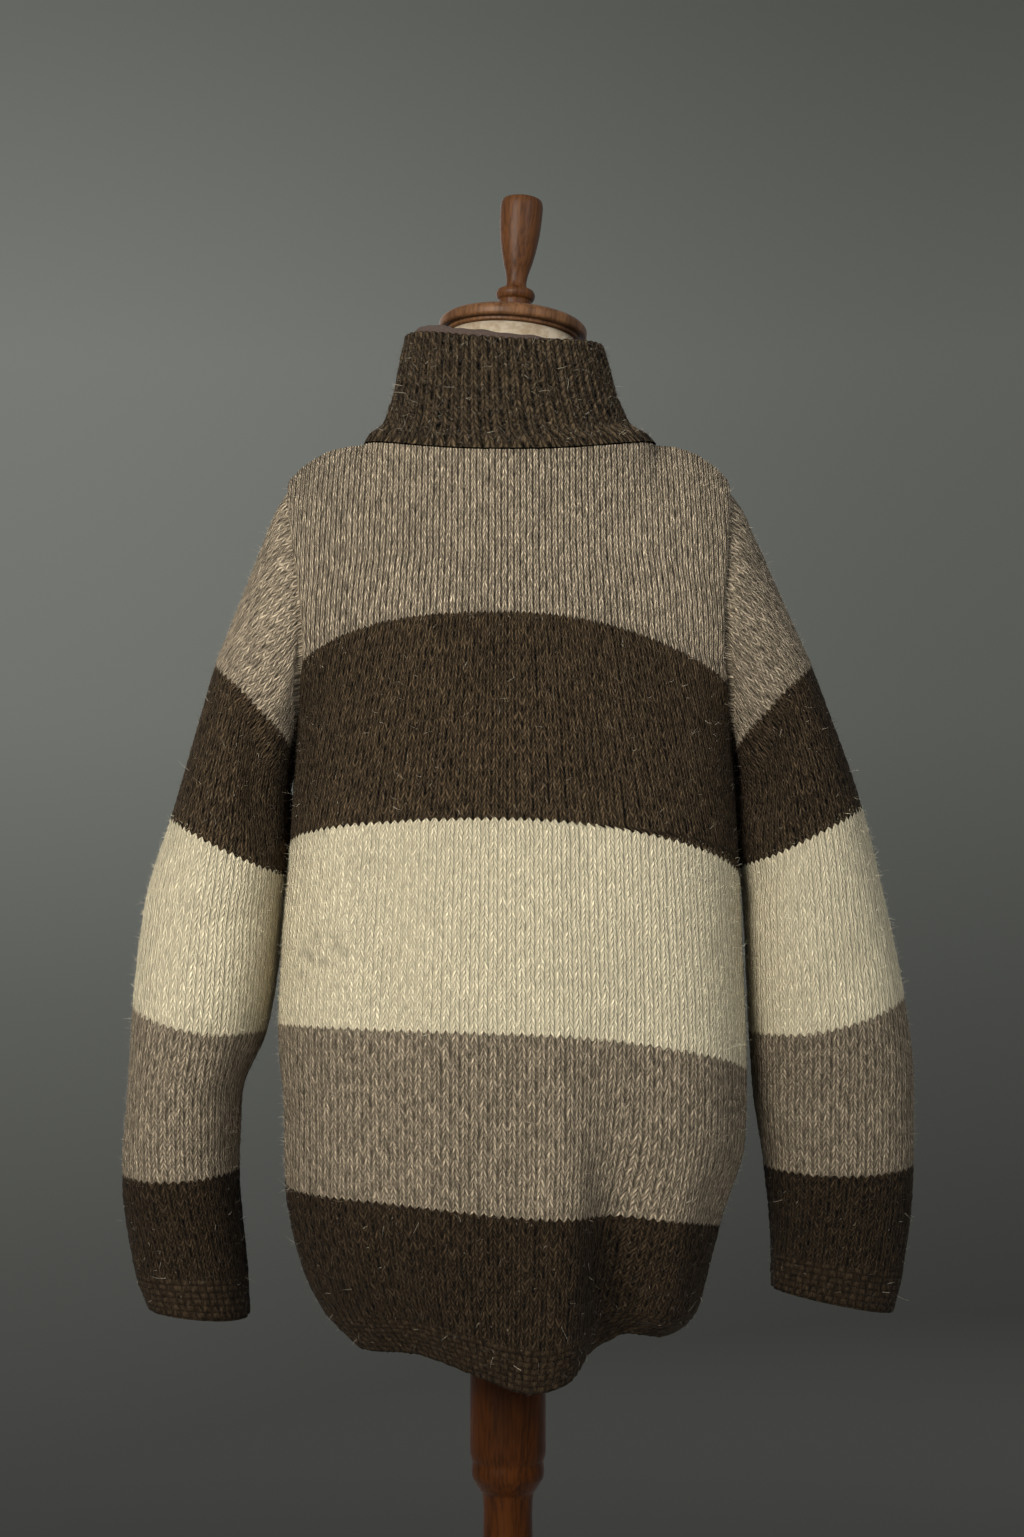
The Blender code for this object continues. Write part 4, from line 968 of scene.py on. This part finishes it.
def zip_path(side):
    """One edge of the zip from hem to collar top: its points (y, z) on the outside of the cloth."""
    courses = [TAPE_START, *np.linspace(3, TOP, 71)]
    body = [body_row(c, side, -1, np.array([0.0]))[0, 1:] for c in courses]
    inside = collar_grid(np.linspace(0.0, 1.0, 26), np.linspace(0.0, 1.0, RIBS * 2 + 1))
    edge = 0 if side > 0 else -1
    lift = collar_normals(inside)[:, edge] * (WALL + GAP)
    return np.concatenate([body, (inside[:, edge] + lift)[4:-1, 1:]])


def path_frame(path):
    """Ways out of the cloth and along the path, at each of its points."""
    along = unit(np.gradient(path, axis=0))
    return np.stack([-along[:, 1], along[:, 0]], axis=1), along


def make_zip(side, tape_material, tooth_material):
    """Half a zip: its tape behind the cloth's edge, its cord, and its teeth."""
    name = SIDES[side]
    path = zip_path(side)
    length = run_of(path)[-1]
    path = resample(path, np.linspace(0.0, 1.0, 181))
    rows = []
    for middle, out in zip(path, path_frame(path)[0]):
        line = [(side * x, *(middle + out * (lift - TAPE_BEHIND))) for x, lift in TAPE_LINE]
        line += [(side * x, *(middle - out * (TAPE_BEHIND + TAPE_WALL))) for x, _ in TAPE_LINE[::-1]]
        rows.append(line + line[:1])
    points = np.array(rows)
    twill = np.linspace(0, 40, points.shape[1]), np.linspace(0, length / TWILL_PITCH, len(path))
    marks = np.stack(np.meshgrid(*twill), axis=2)
    tape = grid_object(f"tape_{name}", points, marks, tape_material, flip=side > 0)
    # Teeth: a stem on the cord and a head that reaches past the middle
    corners, faces = [], []
    count = int(length / TOOTH_PITCH)
    fine = resample(path, (np.arange(count) + (0.25 if side > 0 else 0.75)) / count)
    for point, up, way in zip(fine, *path_frame(fine)):
        middle = point + up * (0.0007 - TAPE_BEHIND)
        for near, far, high, deep in TOOTH_BLOCKS:
            start = len(corners)
            for x in (near, far):
                for a, b in ((-1, -1), (1, -1), (1, 1), (-1, 1)):
                    corners.append((side * x, *(middle + way * (a * high) + up * (b * deep))))
            faces += [tuple(start + k for k in face) for face in BLOCK_FACES]
    mesh = bpy.data.meshes.new(f"teeth_{name}")
    mesh.from_pydata(np.array(corners).tolist(), [], faces)
    mesh.shade_smooth()
    teeth = placed(f"teeth_{name}", mesh, tooth_material)
    bevel = teeth.modifiers.new("soft", "BEVEL")
    bevel.width = 0.00012
    bevel.segments = 1
    return tape, teeth


# Dress form

def make_torso(material):
    """The form's torso and neck, a loft through its slices with closed ends."""
    angle = np.linspace(0, 2 * math.pi, TORSO_PARTS + 1)
    levels = refine([r.z for r in TORSO_ROWS], 5)
    sizes = [column(TORSO_ROWS, name, levels, key="z") for name in TorsoRow._fields[1:]]
    rows = []
    for z, half_x, half_y, mid_y, roundness, tilt in zip(levels, *sizes):
        x = half_x * rounded(np.cos(angle), roundness) + NECK_TOP_X * tilt
        y = mid_y + half_y * rounded(np.sin(angle), roundness)
        rows.append(np.stack([x, y, z + x * math.tan(TILT) * tilt], axis=1))
    shut = [[ring.mean(axis=0) + (ring - ring.mean(axis=0)) * k for k in (0.0, 0.5, 0.985)]
            for ring in (rows[0], rows[-1])]
    points = np.array(shut[0] + rows + shut[1][::-1])
    threads = angle / (2 * math.pi) * LINEN_THREADS, points[:, 0, 2] / LINEN_PITCH
    marks = np.stack(np.meshgrid(*threads), axis=2)
    return grid_object("torso_linen", points, marks, material)


def turned(name, profile, material, steps=96):
    """A turned solid: a smooth line through the profile's points, swept round the axis."""
    line = curve_points(profile, 4)
    line = np.concatenate([[[0.0, line[0, 1]]], line, [[0.0, line[-1, 1]]]])
    angle = np.linspace(0, 2 * math.pi, steps + 1)
    radius, height = line[:, None, 0], np.broadcast_to(line[:, None, 1], (len(line), steps + 1))
    points = np.stack([radius * np.cos(angle), radius * np.sin(angle), height], axis=2)
    marks = np.stack(np.meshgrid(angle, line[:, 1]), axis=2)
    return grid_object(name, points, marks, material, flip=True)


def linen_material():
    made, tree, shader = new_material("neck_linen", 0.95)
    u, v = stitch_fields(tree)
    threads = ((u * math.pi).sine().absolute() + (v * math.pi).sine().absolute()) * 0.5
    dirt = noise(tree, u * 0.02, v * 0.06, 2.0, detail=5.0, roughness=0.65).ramp(0.35, 0.68)
    base = mixed(tree, dirt, (0.80, 0.68, 0.50), (0.42, 0.30, 0.17))
    dark = mixed(tree, threads.ramp(0.2, 0.9, 0.0, 0.45), (0.10, 0.07, 0.045), base)
    surfaced(tree, shader, mixed(tree, 0.55, base, dark), threads, 0.0004)
    return made


def facing_material():
    made, tree, shader = new_material("collar_facing_cloth", 1.0)
    u, v = stitch_fields(tree)
    twill = (u + v).sine() * 0.5 + 0.5
    fluff = noise(tree, u * 0.5, v * 0.5, 4.0, detail=4.0, roughness=0.7)
    colour = mixed(tree, fluff.ramp(0.3, 0.7), (0.034, 0.021, 0.015), (0.074, 0.048, 0.035))
    surfaced(tree, shader, colour, twill * 0.4 + fluff, 0.0006)
    return made


def tape_material():
    made, tree, shader = new_material("zip_tape_twill", 0.85)
    u, v = stitch_fields(tree)
    bones = ((u * 0.5).sine() * 3.0 + v).sine() * 0.5 + 0.5
    colour = mixed(tree, bones, (0.020, 0.015, 0.011), (0.045, 0.034, 0.026))
    surfaced(tree, shader, colour, bones, 0.0002)
    return made


def wood_material(name, light, dark, gloss=0.14):
    made, tree, shader = new_material(name, 0.46)
    shader.inputs["Specular IOR Level"].default_value = gloss
    x, y, z = fields_of(tree, add_node(tree, "TexCoord").outputs["Object"])
    drift = noise(tree, x * 14.0, y * 14.0, z * 5.0) - 0.5
    fine = noise(tree, x + drift * 0.02, y + drift * 0.02, z * 0.10, GRAIN * 8, detail=3.0)
    rings = ((x * 0.8 + y * 0.6 + drift * 0.03) * (GRAIN * 5.5)).sine() * 0.5 + 0.5
    broad = noise(tree, x, y, z * 0.4, 22.0, detail=3.0)
    mix = rings.ramp(0.0, 1.0, 0.15, 0.60) * 0.55 + fine.ramp(0.35, 0.68) * 0.50
    worn = mixed(tree, broad.ramp(0.45, 0.75, 0.0, 0.5), mixed(tree, mix, light, dark), dark)
    surfaced(tree, shader, worn, fine, 0.0003, 0.5)
    return made


def metal_material():
    made, tree, shader = new_material("zip_metal", 0.34, metallic=1.0)
    rub = noise(tree, *fields_of(tree, add_node(tree, "TexCoord").outputs["Object"]), 900.0, detail=3.0)
    colour = mixed(tree, rub.ramp(0.35, 0.7), (0.52, 0.44, 0.30), (0.30, 0.25, 0.17))
    surfaced(tree, shader, colour, rub, 0.00005)
    return made


# Fuzz


def hair_material(name):
    made, tree, shader = new_material(name, 0.9)
    colour = add_node(tree, "Attribute", attribute_name="tint")
    give(tree, shader.inputs["Base Color"], colour.outputs["Color"])
    return made


HAIR_LIGHT = (0.62, 0.55, 0.42)
HAIR_SHORT, HAIR_LONG = 0.0012, 0.0042
HAIR_ROOT = 0.0006       # depth of its root in the cloth
HAIR_HALF = (0.00004, 0.00010)  # half the width of a fibre at its root


def make_fuzz(name, cloth, count, material, bands, colours, rows=None, stray=0.04):
    """Short wool fibres that stand off the cloth, each a bent strip that narrows to its end."""
    points, normals = cloth.points, cloth.normals
    low, high = rows or (8, points.shape[0] - 2)
    first = points[low:high]
    area = (np.linalg.norm(first[:, 1:] - first[:, :-1], axis=2)
            * np.linalg.norm(points[low + 1:high + 1, :-1] - first[:, :-1], axis=2))
    i, j = np.unravel_index(RANDOM.choice(area.size, count, p=(area / area.sum()).reshape(-1)), area.shape)
    i = i + low
    mix = RANDOM.random((count, 2))
    root = (points[i, j] + (points[i, j + 1] - points[i, j]) * mix[:, :1]
            + (points[i + 1, j] - points[i, j]) * mix[:, 1:])
    out = normals[i, j]
    tangent = RANDOM.normal(size=(count, 3))
    tangent = unit(tangent - out * (tangent * out).sum(axis=1)[:, None])
    stand = RANDOM.uniform(0.15, 1.0, (count, 1))
    way = out * stand + tangent * np.sqrt(1 - stand ** 2)
    size = RANDOM.gamma(2.2, 1.0, (count, 1)) / 2.2
    size = HAIR_SHORT + (HAIR_LONG - HAIR_SHORT) * np.clip(size, 0.05, 2.2) / 1.6
    white = RANDOM.random(count) < stray
    size[white] *= 1.5
    bend = RANDOM.normal(0.0, 0.55, (count, 3)) * size
    wide = unit(np.cross(way, RANDOM.normal(size=(count, 3)))) * RANDOM.uniform(*HAIR_HALF, (count, 1))
    root = root - out * HAIR_ROOT
    middle = root + way * size * 0.55 + bend * 0.25
    verts = np.stack([root + wide, root - wide, middle + wide * 0.8, middle - wide * 0.8,
                      root + way * size + bend * 0.85], axis=1)
    start = np.arange(count)[:, None] * 5
    mesh = bpy.data.meshes.new(name)
    mesh.from_pydata(verts.reshape(-1, 3).tolist(), [],
                     (start + (0, 1, 3, 2)).tolist() + (start + (2, 3, 4)).tolist())
    band = np.searchsorted(np.array(bands), cloth.stitches[i, j, 1], side="right")
    yarn = np.array([YARNS[c].colour for c in colours])[band]
    tint = np.clip(yarn * RANDOM.uniform(0.7, 1.7, (count, 1)) + 0.02, 0, 1)
    tint[white] = np.array(HAIR_LIGHT) * RANDOM.uniform(0.6, 1.1, (int(white.sum()), 1))
    layer = mesh.color_attributes.new("tint", "FLOAT_COLOR", "POINT")
    full = np.concatenate([np.repeat(tint, 5, axis=0), np.ones((count * 5, 1))], axis=1)
    layer.data.foreach_set("color", full.reshape(-1).astype(np.float32))
    return placed(name, mesh, material)


GRAIN = 60.0            # fineness of the wood's grain
# Grey-green of the wall, darker towards the bottom and the top
WALL_GRADIENT = (         # by the height of the view's direction, from below to above
    (0.385, (0.045, 0.046, 0.042)), (0.445, (0.072, 0.074, 0.067)), (0.50, (0.108, 0.112, 0.102)),
    (0.56, (0.164, 0.171, 0.154)), (0.635, (0.188, 0.195, 0.178)), (0.705, (0.126, 0.133, 0.118)),
)

# Camera, measured in the photo's pixels
PHOTO_HEIGHT = 1537
HORIZON = 1000          # line of the picture that is level with the camera
FOCAL = 2300
SENSOR = 36.0           # millimetres
CAMERA_PLACE = (-0.0032, 1.84, 0.98)

# Lamps: name, place, target, size, watts, colour
LAMPS = (
    ("key", (1.20, 2.05, 1.95), (0, 0, 1.20), 1.0, 82, (1.0, 0.97, 0.91)),
    ("fill", (-1.5, 2.1, 2.2), (0, 0, 1.25), 1.2, 24, (0.95, 0.97, 1.0)),
    ("front", (0.9, -2.8, 1.9), (0, 0, 1.0), 2.4, 18, (1.0, 0.98, 0.95)),
)
FLOOR_RADIUS = 2.0
FLOOR_LEVEL = -0.0005
FLOOR_PARTS = 96
TORSO_PARTS = 128
LINEN_THREADS = 900      # round the torso
LINEN_PITCH = 0.0011
# Painted shade of each sleeve's yarn, left then right: the right sleeve hangs in shade and is painted darker
SLEEVE_PAINTED_SHADE = (1.0, 0.82)

# Shift of the body's bands: from this column to that one, by so many rows to so many
ROW_DROP = (-36.0, 0.0, 1.3, -1.7)
# Stains of the body: column, row, half width, half height, strength
STAINS = (
    (21.5, 65.0, 4.5, 4.0, 0.36), (24.0, 62.0, 3.5, 3.0, 0.30), (17.5, 79.0, 3.0, 2.5, 0.20),
    (31.0, 74.0, 3.5, 4.0, 0.15), (-20.0, 58.0, 4.0, 3.0, 0.15),
)


def dress():
    """The cloth with its fibres, and the zip."""
    body_knit = knit_material("knit_body", BAND_ROWS, BAND_COLOURS, border=7, drop=ROW_DROP, stains=STAINS)
    # The sleeves' knits, the right one with painted shade
    sleeve_knits = {side: knit_material(f"knit_sleeve_{name}", SLEEVE_BANDS, SLEEVE_COLOURS, border=6,
                                        painted_shade_factor=painted_shade_factor)
                    for (side, name), painted_shade_factor in zip(SIDES.items(), SLEEVE_PAINTED_SHADE)}
    fuzz = hair_material("wool_fibres")
    share = 1.0

    def fluff(name, cloth, count, bands, colours, **more):
        return make_fuzz(name, cloth, int(count * share), fuzz, bands, colours, **more)

    cloth, back = make_back(body_knit)
    hair = fluff("fuzz_back", cloth, 40000, BAND_ROWS, BAND_COLOURS)
    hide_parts("back")
    for side, name in SIDES.items():
        cloth, front = make_front(side, body_knit)
        hair = fluff(f"fuzz_front_{name}", cloth, 12000, BAND_ROWS, BAND_COLOURS)
        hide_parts(f"front_{name}")
        cloth, sleeve = make_sleeve(side, sleeve_knits[side])
        hair = fluff(f"fuzz_sleeve_{name}", cloth, 20000, SLEEVE_BANDS, SLEEVE_COLOURS)
        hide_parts(f"sleeve_{name}")
    cloth, band = make_collar(knit_material("knit_rib", (), ("rib",), border=0, leg_rise=0.9))
    hair = fluff("fuzz_collar", cloth, 28000, (), ("rib",), rows=(1, 36), stray=0.06)
    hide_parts("collar")
    facing = make_facing(facing_material())
    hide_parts("collar_facing")
    twill, metal = tape_material(), metal_material()
    for side, name in SIDES.items():
        tape, teeth = make_zip(side, twill, metal)
        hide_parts(f"zip_tape_{name}")
    for name in ("zip_slider", "zip_pull", "zip_box"):
        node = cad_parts[name]
        node.data.materials.clear()
        node.data.materials.append(metal)
        soft = node.modifiers.new("soft", "BEVEL")
        soft.width = 0.00025
        soft.segments = 2
        soft.limit_method = "ANGLE"


def dress_form():
    torso = make_torso(linen_material())
    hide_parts("form_torso")
    wood = wood_material("cap_wood", (0.160, 0.076, 0.032), (0.040, 0.016, 0.006))
    stem_wood = wood_material("finial_wood", (0.095, 0.036, 0.011), (0.026, 0.009, 0.003))
    pole_wood = wood_material("pole_wood", (0.050, 0.014, 0.002), (0.010, 0.003, 0.0006), gloss=0.06)
    seat = (NECK_TOP_X, TORSO_ROWS[-1].mid_y, NECK_TOP + NECK_TOP_X * math.tan(TILT) + GAP)
    axis = np.array([-math.sin(TILT), 0.0, math.cos(TILT)])
    for name, profile, lift, look, slot_name, node in (
            ("cap_turned", CAP_PROFILE, 0.0, wood, "turned_wood", "neck_cap"),
            ("finial_turned", FINIAL_PROFILE, CAP_PROFILE[0][1], stem_wood, "turned_wood", "finial"),
            ("pole_turned", POLE_PROFILE, None, pole_wood, "dark_wood", "pole"),
            ("base_turned", BASE_PROFILE, None, pole_wood, "dark_wood", "base")):
        made = turned(name, profile, look)
        if lift is not None:
            made.location = np.array(seat) + axis * lift
            made.rotation_euler = (0.0, -TILT, 0.0)
        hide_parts(node)


def lamp(name, place, target, size, watts, colour):
    """A round area lamp that points at its target."""
    light = bpy.data.lights.new(name, "AREA")
    light.shape = "DISK"
    light.size = size
    light.energy = watts
    light.color = colour
    made = bpy.data.objects.new(name, light)
    made.location = place
    x, y, z = np.array(target) - place
    made.rotation_euler = (math.atan2(math.hypot(x, y), -z), 0.0, math.atan2(-x, y))
    bpy.context.scene.collection.objects.link(made)


def backdrop(tree):
    """Grey-green wall with painted light for the camera, and plain dim light for everything else."""
    tree.nodes.clear()
    x, _, z = fields_of(tree, add_node(tree, "TexCoord").outputs["Generated"])
    level = z * 0.5 + 0.5
    wall = add_node(tree, "ValToRGB", level)
    marks = wall.color_ramp.elements
    for k, (place, colour) in enumerate(WALL_GRADIENT):
        mark = marks[k] if k < 2 else marks.new(place)
        mark.position = place
        mark.color = (*colour, 1.0)
    # Painted light: the wall is lighter to the left, but for its lowest part
    aside = x.ramp(-0.24, 0.24, 0.58, 1.0).most(level.ramp(0.40, 0.48, 1.0, 0.0))
    shown = add_node(tree, "Background", mixed(tree, 1.0, wall.outputs[0], grey(tree, aside), "MULTIPLY"))
    ambient = add_node(tree, "Background", (0.90, 0.95, 1.0), 0.30)
    camera_ray = add_node(tree, "LightPath").outputs["Is Camera Ray"]
    both = add_node(tree, "MixShader", camera_ray, ambient.outputs[0], shown.outputs[0])
    add_node(tree, "OutputWorld", both.outputs[0])


def studio():
    """Floor, backdrop, lamps and camera."""
    scene = bpy.context.scene
    scene.view_settings.view_transform = "Standard"
    floor_mesh = bpy.data.meshes.new("floor")
    angles = np.linspace(0, 2 * math.pi, FLOOR_PARTS, endpoint=False)
    ring = [(FLOOR_RADIUS * math.cos(a), FLOOR_RADIUS * math.sin(a), FLOOR_LEVEL) for a in angles]
    floor_mesh.from_pydata(ring, [], [tuple(range(FLOOR_PARTS))])
    floor = bpy.data.objects.new("floor", floor_mesh)
    scene.collection.objects.link(floor)
    made, _, shader = new_material("pale_floor", 0.8)
    shader.inputs["Base Color"].default_value = (0.62, 0.61, 0.58, 1.0)
    floor_mesh.materials.append(made)

    world = bpy.data.worlds.new("studio")
    scene.world = world
    world.use_nodes = True
    backdrop(world.node_tree)
    for row in LAMPS:
        lamp(*row)

    lens = bpy.data.cameras.new("camera")
    lens.sensor_fit = "VERTICAL"
    lens.sensor_height = SENSOR
    lens.lens = SENSOR * FOCAL / PHOTO_HEIGHT
    lens.clip_start = 0.05
    camera = bpy.data.objects.new("camera", lens)
    camera.location = CAMERA_PLACE
    pitch = math.atan((HORIZON - PHOTO_HEIGHT / 2) / FOCAL)
    camera.rotation_euler = (math.pi / 2 + pitch, 0.0, math.pi)
    scene.collection.objects.link(camera)
    scene.camera = camera


dress()
dress_form()
studio()
